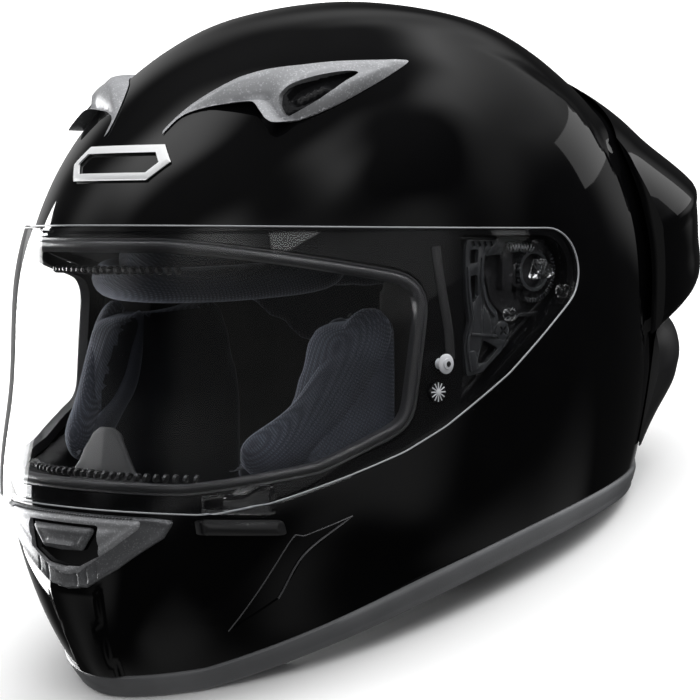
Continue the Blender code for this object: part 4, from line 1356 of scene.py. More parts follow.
@dataclass
class Studio:
    """A pale floor, soft lamps and the camera."""

    azimuth: float = 48.0
    distance: float = 1300.0
    focal: float = 147.1
    target: tuple[float, float, float] = (0.0, 0.0, 18.0)
    aim: Pair = (-2.44, 0.1)
    reach: float = 3.4

    def build(self) -> None:
        """Sets the floor, the sky, the lamps and the camera."""
        self.floor()
        self.sky()
        self.camera()
        self.lamps()

    def floor(self) -> None:
        """A wide pale floor."""
        corners = [(self.reach * a, self.reach * b, 0) for a, b in ((-1, -1), (1, -1), (1, 1), (-1, 1))]
        floor = new_object("floor", corners, [(0, 1, 2, 3)])
        material = bpy.data.materials.new("pale_floor")
        material.use_nodes = True
        tree = NodeBuilder(material.node_tree)
        cloud = tree.noise(tree.object_place(), 0.6, 2.0)
        pale = tree.ramp(cloud, (0.93, 0.93, 0.93), (0.95, 0.95, 0.95))
        rays = tree.new("ShaderNodeLightPath").outputs
        bounces = tree.math("ADD", rays["Diffuse Depth"], rays["Glossy Depth"])
        bounced = tree.math("MINIMUM", bounces, 1.0)
        tree.link(tree.mix(bounced, pale, (0.02, 0.02, 0.02)), tree.shader.inputs["Base Color"])
        tree.settings({"Roughness": 0.9, "Specular IOR Level": 0.0})
        floor.data.materials.append(material)
        floor.visible_glossy = floor.visible_diffuse = False

    def sky(self) -> None:
        """White to the eye and through the clear parts, and a soft patchy dome to all that reflects it."""
        world = bpy.data.worlds.new("studio")
        bpy.context.scene.world = world
        world.use_nodes = True
        tree = NodeBuilder(world.node_tree)
        tree.settings({"Color": (1.0, 1.0, 1.0, 1.0)})
        place = tree.new("ShaderNodeTexCoord").outputs["Generated"]
        axes = tree.new("ShaderNodeSeparateXYZ")
        tree.link(place, axes.inputs[0])
        height = tree.mapped(axes.outputs["Z"], (0.30, 0.95), (0.20, 1.0), "SMOOTHERSTEP")
        patchy = tree.mapped(tree.noise(place, 0.625, 0.5), (0.38, 0.66), (0.12, 2.0), "SMOOTHSTEP")
        rays = tree.new("ShaderNodeLightPath").outputs
        bounces = tree.math("ADD", rays["Diffuse Depth"], rays["Glossy Depth"])
        through = tree.math("SUBTRACT", rays["Is Transmission Ray"], bounces)
        strength = tree.new("ShaderNodeMix")
        tree.link(tree.math("MAXIMUM", rays["Is Camera Ray"], through), strength.inputs[0])
        tree.link(tree.math("MULTIPLY", height, patchy), strength.inputs[2])
        strength.inputs[3].default_value = 1.0
        tree.link(strength.outputs[0], tree.shader.inputs["Strength"])

    def head_to_frame(self, point: Sequence[float]) -> Vector:
        """A point in head axes, in the frame's axes."""
        return frame_matrix() @ Vector(point)

    def camera(self) -> None:
        """Puts the camera level with the visor's pivot, in head axes."""
        turn = math.radians(self.azimuth)
        back = Vector((math.sin(turn), -math.cos(turn), 0))
        data = bpy.data.cameras.new("camera")
        data.lens = self.focal
        data.sensor_width = 36.0
        data.clip_end = 100.0
        camera = linked("camera", data)
        bpy.context.scene.camera = camera
        right = Vector((math.cos(turn), math.sin(turn), 0))
        look = Matrix((right, Vector((0, 0, 1)), back)).transposed()
        nod, yaw = math.radians(self.aim[0]), math.radians(self.aim[1])
        look = look @ Matrix.Rotation(-yaw, 3, "Y") @ Matrix.Rotation(nod, 3, "X")
        stand = base_matrix().inverted().to_3x3()
        place = Vector(self.target) + back * self.distance
        camera.matrix_world = Matrix.Translation(self.head_to_frame(place)) @ (stand @ look).to_4x4()

    def lamps(self) -> None:
        """Soft boxes: one overhead, a strip for the visor, two at the left side and one behind."""
        bpy.context.scene.view_settings.view_transform = "Standard"
        for name, place, size, radiance, reflected in (
            ("overhead", (0, 1200, 3600), (6500, 6500), 3.2, False),
            ("strip", (-1440, -170, -120), (760, 860), 9.0, True),
            ("left_box", (1150, -950, 950), (800, 700), 2.2, False),
            ("edge_box", (1500, 900, 500), (340, 900), 1.2, False),
            ("rear_box", (300, 1600, 700), (900, 360), 0.8, True),
        ):
            self.lamp(name, place, size, radiance).visible_glossy = reflected

    def lamp(self, name: str, place: Sequence[float], size: Pair, radiance: float) -> Object:
        """An area lamp that faces the helmet.

        Args:
            name: the lamp's name.
            place: its centre, in head axes.
            size: its width and height in millimetres.
            radiance: how bright its face looks.

        Returns:
            The lamp.
        """
        data = bpy.data.lights.new(name, "AREA")
        data.shape = "RECTANGLE"
        data.size, data.size_y = size[0] * MM, size[1] * MM
        data.energy = radiance * math.pi * data.size * data.size_y
        lamp = linked(name, data)
        centre = self.head_to_frame(place)
        lamp.location = centre
        lamp.rotation_mode = "QUATERNION"
        lamp.rotation_quaternion = (self.head_to_frame((0, 0, 0)) - centre).to_track_quat("-Z", "Y")
        return lamp


# --- repeated pieces ---


def new_tooth(length: float, width: float, height: float) -> Object:
    """A small rounded block that lies along X, to be repeated along a path."""
    bm = bmesh.new()
    bmesh.ops.create_cube(bm, size=1.0, matrix=Matrix.Diagonal((length, width, height, 1)))
    bmesh.ops.bevel(bm, geom=bm.edges, offset=min(width, height) * 0.3, segments=1, affect="EDGES")
    return from_bmesh("tooth", bm)


def repeated(
    path: np.ndarray, unit: Object, finish: BaseFinish, spacing: float, turn: float = 0.0, seed: int = 7,
) -> Object:
    """Sets a small piece at even steps along a path with a node tree, and puts the result in a plain mesh.

    Args:
        path: the path's points.
        unit: the piece to repeat, lying along X. It is used up.
        finish: what the pieces are made of.
        spacing: the distance between them.
        turn: a turn about the path's upright, in radians.
        seed: the seed for the small differences between them.

    Returns:
        The repeated pieces as one mesh.
    """
    vertices = [tuple(p) for p in path]
    mesh = bpy.data.meshes.new("path")
    mesh.from_pydata(vertices, [(k, k + 1) for k in range(len(vertices) - 1)], [])
    obj = linked("path", mesh)
    tree = bpy.data.node_groups.new("repeat", "GeometryNodeTree")
    tree.is_modifier = True
    face = tree.interface
    face.new_socket("Geometry", in_out="INPUT", socket_type="NodeSocketGeometry")
    face.new_socket("Geometry", in_out="OUTPUT", socket_type="NodeSocketGeometry")
    values = {}
    for name, kind, value in (
        ("Spacing", "Float", spacing), ("Turn", "Float", turn), ("Seed", "Int", seed),
        ("Unit", "Object", upright(unit)),
    ):
        values[face.new_socket(name, in_out="INPUT", socket_type=f"NodeSocket{kind}").identifier] = value
    node = {}
    for key, kind in (
        ("in", "NodeGroupInput"), ("out", "NodeGroupOutput"), ("curve", "GeometryNodeMeshToCurve"),
        ("points", "GeometryNodeCurveToPoints"), ("object", "GeometryNodeObjectInfo"),
        ("place", "GeometryNodeInstanceOnPoints"), ("spin", "FunctionNodeRotateRotation"),
        ("axis", "FunctionNodeAxisAngleToRotation"), ("random", "FunctionNodeRandomValue"),
        ("real", "GeometryNodeRealizeInstances"), ("dress", "GeometryNodeSetMaterial"),
    ):
        node[key] = tree.nodes.new(kind)
    node["points"].mode = "LENGTH"
    node["spin"].rotation_space = "LOCAL"
    node["axis"].inputs["Axis"].default_value = (1.0, 0.0, 0.0)
    node["random"].data_type = "FLOAT"
    node["random"].inputs[2].default_value = 0.94
    node["random"].inputs[3].default_value = 1.06
    node["dress"].inputs["Material"].default_value = finish.build()
    for source, output, target, entry in (
        ("in", "Geometry", "curve", "Mesh"), ("curve", 0, "points", "Curve"),
        ("in", "Spacing", "points", "Length"),
        ("points", "Points", "place", "Points"), ("points", "Rotation", "spin", "Rotation"),
        ("in", "Turn", "axis", "Angle"), ("axis", 0, "spin", "Rotate By"), ("spin", 0, "place", "Rotation"),
        ("in", "Unit", "object", "Object"), ("object", "Geometry", "place", "Instance"),
        ("in", "Seed", "random", "Seed"), ("random", 1, "place", "Scale"), ("place", 0, "real", 0),
        ("real", 0, "dress", "Geometry"), ("dress", 0, "out", "Geometry"),
    ):
        tree.links.new(node[source].outputs[output], node[target].inputs[entry])
    modifier = obj.modifiers.new("repeat", "NODES")
    modifier.node_group = tree
    for identifier, value in values.items():
        modifier[identifier] = value
    bake(obj)
    bpy.data.objects.remove(unit)
    return obj


def upright(unit: Object) -> Object:
    """Turns a piece that lies along X to lie along Z, the way a path's points face."""
    unit.data.transform(Matrix.Rotation(math.radians(-90), 4, "Y"))
    return unit


# --- pieces raised from the form's front ---


def outline_distance(outline: np.ndarray, u: np.ndarray, v: np.ndarray) -> np.ndarray:
    """Distance of places to a flat closed outline."""
    first, second = outline, np.roll(outline, -1, 0)
    best = np.full(u.shape, 1e9)
    for (a, b), (c, d) in zip(first, second):
        length = max((c - a) ** 2 + (d - b) ** 2, 1e-9)
        share = np.clip(((u - a) * (c - a) + (v - b) * (d - b)) / length, 0, 1)
        best = np.minimum(best, np.hypot(u - a - share * (c - a), v - b - share * (d - b)))
    return best


def front_points(x: np.ndarray, z: np.ndarray, height: np.ndarray) -> np.ndarray:
    """Points over the front of the form at places in front view."""
    dense = np.linspace(0, 1, 2001)
    row = FORM.rows(np.interp(z, FORM.rows(dense)[:, 0], dense))
    inside = np.maximum(0.0, 1 - np.abs(x / row[..., 1]) ** row[..., 4])
    points = np.stack([x, -row[..., 2] * inside ** (1 / row[..., 4]), z], -1)
    shares, angles, _ = FORM.places(points)
    return points + FORM.normals(shares, angles) * height[..., None]


def patch(
    outline: Outline, height: Callable[[np.ndarray, np.ndarray, np.ndarray], np.ndarray], foot: float = 0.4,
    step: float = 0.9,
) -> Object:
    """A piece that stands on the form's front with a sculpted face.

    Args:
        outline: its outline in front view.
        height: gives the face's height over the form from X, Z and the distance to the outline.
        foot: height of its underside.
        step: spacing of its face's points.

    Returns:
        The closed solid.
    """
    edge = np.array(outline)
    low, high = edge.min(0) - 1.5, edge.max(0) + 1.5
    across = np.arange(low[0], high[0] + step, step)
    up = np.arange(low[1], high[1] + step, step)
    x, z = np.meshgrid(across, up, indexing="ij")
    face = front_points(x, z, np.maximum(height(x, z, outline_distance(edge, x, z)), foot + 0.15))
    under = front_points(x, z, np.full(x.shape, foot))
    wide, tall = x.shape
    vertices = np.vstack([face.reshape(-1, 3), under.reshape(-1, 3)])
    count, faces = wide * tall, []
    for i in range(wide - 1):
        for j in range(tall - 1):
            a = i * tall + j
            faces.append((a, a + tall, a + tall + 1, a + 1))
            faces.append((count + a, count + a + 1, count + a + tall + 1, count + a + tall))
    rim = [i * tall for i in range(wide)] + [(wide - 1) * tall + j for j in range(1, tall)]
    rim += [i * tall + tall - 1 for i in range(wide - 2, -1, -1)] + list(range(tall - 2, 0, -1))
    for a, b in zip(rim, rim[1:] + rim[:1]):
        faces.append((a, b, count + b, count + a))
    return keep(outward(new_object("patch", vertices, faces)), prism(list(map(tuple, edge)), "Y", -FAR, -15))


@dataclass
class BrowVents:
    """The two long air intakes on the brow, each with a mouth and a slider."""

    rise: float = 6.6
    edge: Outline = (
        (20.0, 57.4), (24.0, 65.0), (33.0, 68.4), (43.0, 69.8), (52.0, 70.6), (58.0, 70.2), (63.0, 66.6),
        (67.4, 63.0), (71.4, 61.6), (76.6, 64.2), (81.4, 69.4), (84.4, 75.6), (85.6, 82.0), (84.4, 88.4),
        (80.0, 88.6), (73.0, 87.8), (65.0, 86.2), (56.5, 85.0), (46.5, 83.4), (38.0, 80.8), (30.0, 75.4),
        (23.4, 68.0),
        (19.6, 60.0),
    )
    mouth: Outline = (
        (65.2, 69.0), (68.6, 65.4), (71.4, 64.2), (75.4, 66.8), (79.6, 71.4), (82.0, 77.0), (83.0, 82.4),
        (79.6, 83.4), (73.4, 81.2), (67.6, 77.2), (64.6, 73.0),
    )
    slider_centre: Pair = (73.0, 72.0)
    slider_slant: float = math.radians(50.0)

    def build(self) -> None:
        """Makes both vents."""
        for side, word in SIDES:
            edge, mouth = closed_curve(self.edge, 5), closed_curve(self.mouth, 4)
            body = patch(edge, self.face)
            cut(body, prism(mouth, "Y", -FAR, -15))
            place_piece(sided(body, side), f"brow_vent_{word}_cover", FLAKE, replaces=(f"brow_vent_{word}",))
            lining = patch(mouth, lambda x, z, d: np.where(d < 0.9, 4.6, 0.95), step=0.6)
            place_piece(sided(lining, side), f"brow_vent_{word}_lining", MOULDING)
            self.slider(side, word)

    def face(self, x: np.ndarray, z: np.ndarray, d: np.ndarray) -> np.ndarray:
        """The cover's height: a soft blade that rises from its tip, with a crease along it."""
        full = 1.3 + (self.rise - 1.3) * ease(x, 18, 60) * (1 - 0.66 * ease(z, 74, 88) * ease(x, 62, 82))
        crown = full * (1 - np.exp(-d / 2.6))
        line = np.interp(x, (20, 40, 62, 86), (62, 76.5, 82.5, 87.5))
        crease = 0.9 * np.exp(-(((z - line) / 2.2) ** 2)) * ease(x, 26, 44)
        brim = 0.7 * np.exp(-((outline_distance(np.array(self.mouth), x, z) / 1.3) ** 2))
        return 0.4 + crown + crease * (1 - np.exp(-d / 2.0)) + brim * (1 - np.exp(-d / 0.8))

    def slider(self, side: int, word: str) -> None:
        """The ribbed slider in the mouth."""
        along = Vector((math.cos(self.slider_slant), math.sin(self.slider_slant)))
        across = Vector((-along.y, along.x))
        centre = Vector(self.slider_centre)
        corners = [
            tuple(centre + along * a + across * b) for a,
            b in ((-5.6, -2.3), (5.6, -2.3), (5.6, 2.3), (-5.6, 2.3))
        ]

        def height(x: np.ndarray, z: np.ndarray, d: np.ndarray) -> np.ndarray:
            """Ridges across the slider's back."""
            run = (x - centre.x) * along.x + (z - centre.y) * along.y
            return 1.4 + 2.9 * (1 - np.exp(-d / 0.7)) + 0.45 * np.cos(run * 3.6) * (d > 0.5)

        made = sided(patch(rounded(corners, 1.2, 3), height, 1.15, 0.4), side)
        place_piece(
            made, f"brow_vent_{word}_knob", MOULDING, f"brow_slider_{word}", (f"brow_vent_slider_{word}",),
        )


@dataclass
class ChinVent:
    """The V-shaped mask on the chin with its intake, shutter, mesh and beading."""

    def build(self) -> None:
        """Makes the mask's layers, the shutter, the mesh and the beading."""
        outer = self.both(
            ((0.0, -133.2), (12.5, -131.6), (30.0, -122.8), (52.5, -108.6), (57.6, -101.0), (47.0, -100.2))
        )
        inner = self.both(((0.0, -127.4), (9.0, -125.6), (30.5, -113.6), (43.0, -105.4), (45.2, -101.2)))
        window = self.both(((0.0, -123.4), (11.5, -122.6), (23.0, -117.5), (24.0, -104.6)))
        band = patch(outer, self.band_face)
        cut(band, prism(inner, "Y", -FAR, -60))
        place_piece(band, "chin_mask_band", MASK, replaces=("chin_vent_body",))
        plate = patch(inner, self.plate_face)
        cut(plate, prism(window, "Y", -FAR, -60))
        place_piece(plate, "chin_mask_plate", FLAKE)
        self.shutter()
        self.mesh()
        self.beading()

    def both(self, half: Outline) -> Points:
        """A symmetrical outline from the half at positive X, which starts at the middle."""
        return rounded([*half, *mirrored(half[1:])], 1.6, 3)

    def band_face(self, x: np.ndarray, z: np.ndarray, d: np.ndarray) -> np.ndarray:
        """A low band with a bright lip at its outer edge and short ribs at the chin."""
        ribs = 0.5 * (np.abs((np.abs(x) + 3.2) % 6.4 - 3.2) < 0.35) * (np.abs(x) < 24) * (z < -121)
        return 0.5 + 0.9 * (1 - np.exp(-d / 0.6)) + 0.7 * np.exp(-(((d - 1.2) / 0.9) ** 2)) - ribs

    def plate_face(self, x: np.ndarray, z: np.ndarray, d: np.ndarray) -> np.ndarray:
        """The raised inner V, which falls away towards the window."""
        wing = 0.8 * np.exp(-(((d - 4.0) / 1.5) ** 2))
        return 0.6 + 2.3 * (1 - np.exp(-d / 0.9)) - wing

    def shutter(self) -> None:
        """The shutter in the window, with a thumb grip."""
        outline = self.both(((0.0, -116.4), (13.0, -116.0), (21.8, -106.0)))

        def height(x: np.ndarray, z: np.ndarray, d: np.ndarray) -> np.ndarray:
            """A dished face with a lip."""
            grip = 1.0 * np.exp(-(((z + 113.6) / 1.0) ** 2)) * (np.abs(x) < 9)
            return 1.0 + 1.9 * (1 - np.exp(-d / 0.8)) + grip - 0.5 * ease(d, 2.0, 4.0)

        made = patch(outline, height, 0.8, 0.6)
        place_piece(made, "chin_shutter_flap", MASK, "chin_shutter", ("chin_vent_shutter",))

    def mesh(self) -> None:
        """Fine bars over the air intake behind the shutter."""
        bars = []
        for k in range(11):
            x = -9.0 + 1.8 * k
            high, low = FORM.on_front(x, -108.6, -1.6), FORM.on_front(x, -113.4, -1.6)
            bars.append(bar(0.3, high, low, 8))
        for z in (-109.6, -111.0, -112.4):
            bars.append(bar(0.28, FORM.on_front(-9.4, z, -1.9), FORM.on_front(9.4, z, -1.9), 8))
        place_piece(joined(*bars), "chin_intake_mesh", SOFT_RUBBER, replaces=("chin_vent_mesh",))

    def beading(self) -> None:
        """A fine toothed line along the mask's upper edge."""
        points = [FORM.on_front(x, -100.9, 1.9) for x in np.linspace(-40, 40, 41)]
        tooth = new_tooth(0.9, 0.45, 0.5)
        made = repeated(np.array(points), tooth, SOFT_RUBBER, spacing=1.7, turn=0.5)
        place_piece(made, "chin_mask_beading", SOFT_RUBBER)


@dataclass
class Badge:
    """A plain slim bar with pointed ends, framed, over the eye port."""

    half_width: float = 33.0
    half_height: float = 7.5
    half_flat: float = 25.0
    centre: float = 45.5
    rim: float = 3.2
    edge_points: int = 16

    def build(self) -> None:
        """Makes the frame of the bar."""
        bar_frame = patch(self.outline(0.0), lambda x, z, d: 0.75 + 0.6 * (1 - np.exp(-d / 0.5)), 0.4, 0.8)
        cut(bar_frame, prism(self.outline(self.rim), "Y", -FAR, -40))
        place_piece(bar_frame, "brow_emblem_bar", EMBLEM, replaces=("brow_badge",))

    def outline(self, inset: float) -> Points:
        """The bar's outline in front view, drawn in by an inset."""
        wide, flat = self.half_width - inset * 1.6, self.half_flat - inset * 0.5
        high = self.half_height - inset
        corners = [(wide, 0.0), (flat, high), (-flat, high), (-wide, 0.0), (-flat, -high), (flat, -high)]
        points = []
        for (x0, z0), (x1, z1) in zip(corners, corners[1:] + corners[:1]):
            for share in np.linspace(0, 1, self.edge_points, endpoint=False):
                points.append((x0 + (x1 - x0) * share, self.centre + z0 + (z1 - z0) * share))
        return points


# --- rear pieces ---


@dataclass
class RearPiece:
    """A moulding lofted round the back of the shell."""

    spread: float
    steps: int = 72
    foot: float = 0.45

    def section(self, side: float) -> Points:
        """Heights and reaches down the outside at a share of the way from the rear to an edge."""
        raise NotImplementedError

    def loft(self) -> Object:
        """Skins the sections into a solid."""
        dense = np.linspace(0, 1, 4001)
        levels = FORM.rows(dense)[:, 0]
        rings = []
        for k in range(self.steps + 1):
            share = 2 * k / self.steps - 1
            angle = math.pi / 2 - share * self.spread
            outside = np.array(self.section(abs(share)))
            heights = np.linspace(outside[-1, 0], outside[0, 0], 14)
            inside = np.column_stack([heights, np.full(14, self.foot)])
            rows = np.vstack([outside, inside[1:-1]])
            shares = np.interp(rows[:, 0], levels, dense)
            angles = np.full(len(shares), angle)
            rings.append(FORM.base(shares, angles) + FORM.normals(shares, angles) * rows[:, 1:])
        return sweep(np.array(rings), False)


@dataclass
class Spoiler(RearPiece):
    """The wing across the back of the crown."""

    spread: float = math.radians(56.0)
    reach: float = 27.0

    def section(self, side: float) -> Points:
        """A long rise from the crown to a crisp lip, then a hollow underside."""
        reach = self.reach * (1 - 0.72 * side**4)
        start, shoulder, lip, foot = (
            a + (b - a) * side**2 for a, b in ((96.0, 58.0), (58.0, 42.0), (38.0, 18.0), (10.0, -22.0))
        )
        waist, belly = (start + shoulder) / 2, (lip + foot) / 2
        upper = [
            (start, 0.75), (waist, 1.2 + reach * 0.17), (shoulder, reach * 0.44), (lip + 3, reach * 0.93)
        ]
        edge = [(lip + 0.8, reach * 0.985), (lip - 0.8, reach), (lip - 2.4, reach * 0.985)]
        lower = [
            (lip - 4, reach * 0.95), (belly, reach * 0.86), (foot, reach * 0.78), (foot - 6.4, 2.4),
            (foot - 7, 0.8)
        ]
        return [*map(tuple, smooth_path(upper, 9)), *edge, *map(tuple, smooth_path(lower, 6))]

    def build(self) -> None:
        """Makes the wing."""
        wing = self.loft()
        place_piece(wing, "rear_wing", PAINT, replaces=("rear_spoiler",), sharp=32.0)


@dataclass
class Exhaust(RearPiece):
    """The moulding below the wing that covers the rear air outlets."""

    spread: float = math.radians(50.0)
    reach: float = 16.0

    def section(self, side: float) -> Points:
        """A full bulge that tucks in to the base edge."""
        reach = self.reach * (1 - 0.75 * side**4)
        drop = -19 * side**2
        rows = [
            (-10 + drop, 0.9), (-17 + drop, reach * 0.72), (-26 + drop, reach),
            (-39 + drop * 0.5, reach * 1.0)
        ]
        rows += [(-52, reach * 0.9), (-66, reach * 0.48), (-79, 1.6), (-80, 0.8)]
        return [tuple(p) for p in smooth_path(rows, 6)]

    def build(self) -> None:
        """Makes the bulge and the dark outlets across it."""
        cover = self.loft()
        cut(cover, base_layer(-FAR, 11.7))
        for x in (-34, -12, 12, 34):
            slot = rounded([(x - 9, -41), (x + 9, -41), (x + 7, -54), (x - 7, -54)], 2.0, 3)
            cut(cover, prism(slot, "Y", self.depth(x), FAR))
        place_piece(cover, "rear_outlet_cover", SATIN, replaces=("rear_exhaust_cover",), sharp=32.0)

    def depth(self, x: float) -> float:
        """How far back the outlets' floors lie."""
        return 147 - abs(x) * 0.3


# --- visor mechanism ---


def layer(
    outline: Outline, low: float, high: float, edge: float = 0.25, holes: Iterable[Outline] = ()
) -> Object:
    """A flat moulding in side view with soft edges.

    Args:
        outline: its outline.
        low: the height of its underside over the recess floor.
        high: the height of its face.
        edge: how far its edges are rounded.
        holes: the outlines of its holes.

    Returns:
        The solid.
    """
    made = prism(outline, "X", POCKET_FLOOR + low, POCKET_FLOOR + high)
    for hole in holes:
        cut(made, prism(hole, "X", POCKET_FLOOR + low - 1, POCKET_FLOOR + high + 1))
    return bevelled(made, edge, 2, 40) if edge else made


def rib(path: Outline, width: float, low: float, high: float, edge: float = 0.25) -> Object:
    """A rib of even width along a path in side view, between two heights over the recess floor."""
    return layer(strip_outline(path, width), low, high, edge)


def strip_outline(path: Outline, width: float) -> Points:
    """A flat band of even width along a path."""
    rows = np.array(path, float)
    along = normalised(np.gradient(rows, axis=0))
    across = np.column_stack([-along[:, 1], along[:, 0]]) * width / 2
    return [*map(tuple, rows + across), *map(tuple, (rows - across)[::-1])]


def slanted(centre: Pair, size: Pair, slant: float = 0.0) -> Points:
    """A rounded box in side view.

    Args:
        centre: its middle.
        size: its width and height.
        slant: how far it leans, in degrees.

    Returns:
        The outline.
    """
    turn = math.radians(slant)
    made = []
    for a, b in ((-1, -1), (1, -1), (1, 1), (-1, 1)):
        u, v = a * size[0] / 2, b * size[1] / 2
        made.append(
            (
                centre[0] + u * math.cos(turn) - v * math.sin(turn),
                centre[1] + u * math.sin(turn) + v * math.cos(turn)
            )
        )
    return rounded(made, min(size) * 0.25, 2)


@dataclass
class Mechanism:
    """The visor mechanism in each side recess: base plate, detent ring, release lever, spring and screws."""

    plate: Pair = (0.35, 3.4)
    upper_screw: Pair = (-20.0, 11.0)
    lower_screw: Pair = (-17.5, -25.0)

    def build(self) -> None:
        """Makes both sides."""
        for side, word in SIDES:
            self.base_plate(side, word)
            self.detents(side, word)
            self.lever(side, word)
            self.spring(side, word)
            self.screws(side, word)

    def base_plate(self, side: int, word: str) -> None:
        """The black carrier with its windows, bridges and toothed band."""
        low, high = self.plate
        floor = layer(pocket_outline(-0.45), low, high - 1.2, 0.0)
        for place, size, slant in (
            ((-8.0, -9.3), (2.6, 5.0), 8), ((-3.6, -9.9), (2.4, 4.6), 4), ((1.4, -9.8), (2.4, 4.4), -4),
            ((-3.0, -22.5), (8.5, 3.0), -8), ((-26.0, 6.0), (3.0, 8.0), 0),
        ):
            hole = slanted(place, size, slant)
            cut(floor, prism(hole, "X", POCKET_FLOOR + 1.0, POCKET_FLOOR + 5))
        rim = layer(pocket_outline(-0.5), low, high + 0.8, 0.2, [pocket_outline(-2.0)])
        base = high - 1.4
        bridge = smooth_path([(-27, -2), (-24, -12), (-15, -17.5), (-4, -18.6), (5, -17.6)], 6)
        brace = smooth_path([(-12.0, -38.0), (-7.0, -31.0), (2.0, -26.0), (8.6, -16.6)], 6)
        raised = [
            layer(slanted((-15.4, -0.2), (5.8, 15.6)), base, high + 2.2),
            layer(
                slanted((-8.6, -2.0), (6.0, 9.6)), base, high + 1.4, 0.2, [slanted((-8.6, -2.0), (2.2, 7.4))]
            ),
            layer(slanted((2.6, 10.2), (8.6, 6.4)), base, high + 2.6),
            rib(arc((0, 0), 12.6, 40, -112, 30), 2.2, base, high + 1.8),
            rib(arc((0, 0), 9.3, 30, -60, 18), 1.3, base, high + 1.2),
            rib(bridge, 1.8, base, high + 2.0),
            rib(brace, 1.6, base, high + 2.4),
        ]
        ramps = [
            layer(slanted((-13.5 + 3.2 * k, 13.0), (1.5, 3.2), 24), base, high + 1.6, 0.15) for k in range(3)
        ]
        made = sided(joined(floor, rim, *raised, *ramps), side)
        place_piece(made, f"visor_plate_{word}", MOULDING, replaces=(f"visor_base_plate_{word}",))
        self.teeth(side, word)

    def teeth(self, side: int, word: str) -> None:
        """Fine teeth round the carrier's curved band."""
        x = POCKET_FLOOR + self.plate[1] + 1.8
        path = np.array([(side * x, y, z) for y, z in arc((0, 0), 12.6, 30, -104, 50)])
        made = repeated(path, new_tooth(0.7, 1.9, 0.7), LEVER, spacing=1.5)
        place_piece(made, f"plate_teeth_{word}", LEVER)

    def detents(self, side: int, word: str) -> None:
        """The ring round the pivot that gives the visor its steps."""
        low = self.plate[1] + 0.45
        outline = []
        for k in range(48):
            angle = math.tau * k / 48
            outline.append(
                ((9.0 - 0.5 * (k % 2)) * math.cos(angle), (9.0 - 0.5 * (k % 2)) * math.sin(angle))
            )
        ring = layer(outline, low, low + 2.2, 0.0, [arc((0, 0), 7.2, 0, 352, 45)])
        place_piece(sided(ring, side), f"detent_ring_{word}_gear", LEVER, replaces=(f"detent_ring_{word}",))

    def lever(self, side: int, word: str) -> None:
        """The grey release lever in front of the pivot, with its windows and diagonal fold."""
        body = rounded(
            (
                (-40.2, 10.6), (-39.0, 13.2), (-19.5, 12.8), (-19.0, 7.0), (-29.2, 6.4), (-29.6, -4.0),
                (-27.0, -12.0), (-22.0, -17.0), (-21.0, -21.0), (-24.0, -25.5), (-22.0, -28.2),
                (-15.6, -28.8),
                (-15.4, -30.0), (-19.0, -33.2), (-30.0, -41.8), (-39.4, -43.6), (-41.2, -31.0),
                (-38.0, -21.0),
                (-39.6, -11.0), (-40.4, 1.0),
            ), 1.4, 3,
        )
        windows = [
            rounded(((-37.8, 3.2), (-33.2, 3.6), (-32.8, 9.2), (-37.2, 9.0)), 0.8, 2),
            rounded(((-33.6, -38.4), (-28.4, -38.0), (-21.0, -32.2), (-30.2, -28.4)), 1.0, 2),
            rounded(((-37.8, -2.0), (-33.4, -1.4), (-32.8, -10.0), (-36.2, -13.6)), 0.8, 2),
        ]
        windows += [slanted((-35.6 + 3.4 * k, 11.4), (1.2, 2.4), 28) for k in range(4)]
        plate = layer(body, 3.9, 6.0, 0.3, windows)
        front = smooth_path([(-39.2, 2), (-38.2, -10), (-36.8, -20), (-39.4, -30), (-37.4, -41.6)], 6)
        back = smooth_path([(-30.8, 5.6), (-31.2, -4), (-28.4, -13), (-23.4, -19)], 6)
        ridge = rib(front, 1.3, 5.4, 6.9, 0.3)
        fold = rib([(-37.5, -26.0), (-29.2, -26.6), (-22.4, -27.0)], 1.4, 5.4, 6.8, 0.3)
        curve = rib(back, 1.2, 5.4, 6.8, 0.25)
        grip = layer(slanted((-36.2, -37.0), (4.4, 8.4), 8), 5.4, 6.9, 0.5)
        made = sided(joined(plate, ridge, fold, curve, grip), side)
        place_piece(
            made, f"release_lever_{word}_arm", LEVER, f"release_lever_{word}",
            (f"visor_release_lever_{word}",),
        )

    def spring(self, side: int, word: str) -> None:
        """The coil spring over the pivot."""
        steps, turns, radius = 220, 7, 1.9
        share = np.linspace(0, 1, steps)
        angle = share * math.tau * turns
        path = np.column_stack([
            POCKET_FLOOR + self.plate[1] + 2.4 + radius * np.cos(angle), -14.5 + 12.6 * share,
            10.0 + radius * np.sin(angle),
        ])
        across = np.column_stack([np.cos(angle), np.zeros(steps), np.sin(angle)])
        third = np.cross(normalised(np.gradient(path, axis=0)), across)
        round_wire = np.linspace(0, math.tau, 8, endpoint=False)[None, :, None]
        rings = path[:, None] + 0.34 * (
            across[:, None] * np.cos(round_wire) + third[:, None] * np.sin(round_wire)
        )
        coil = sided(sweep(rings, False), side)
        place_piece(coil, f"lever_spring_{word}_coil", STEEL, replaces=(f"lever_spring_{word}",))

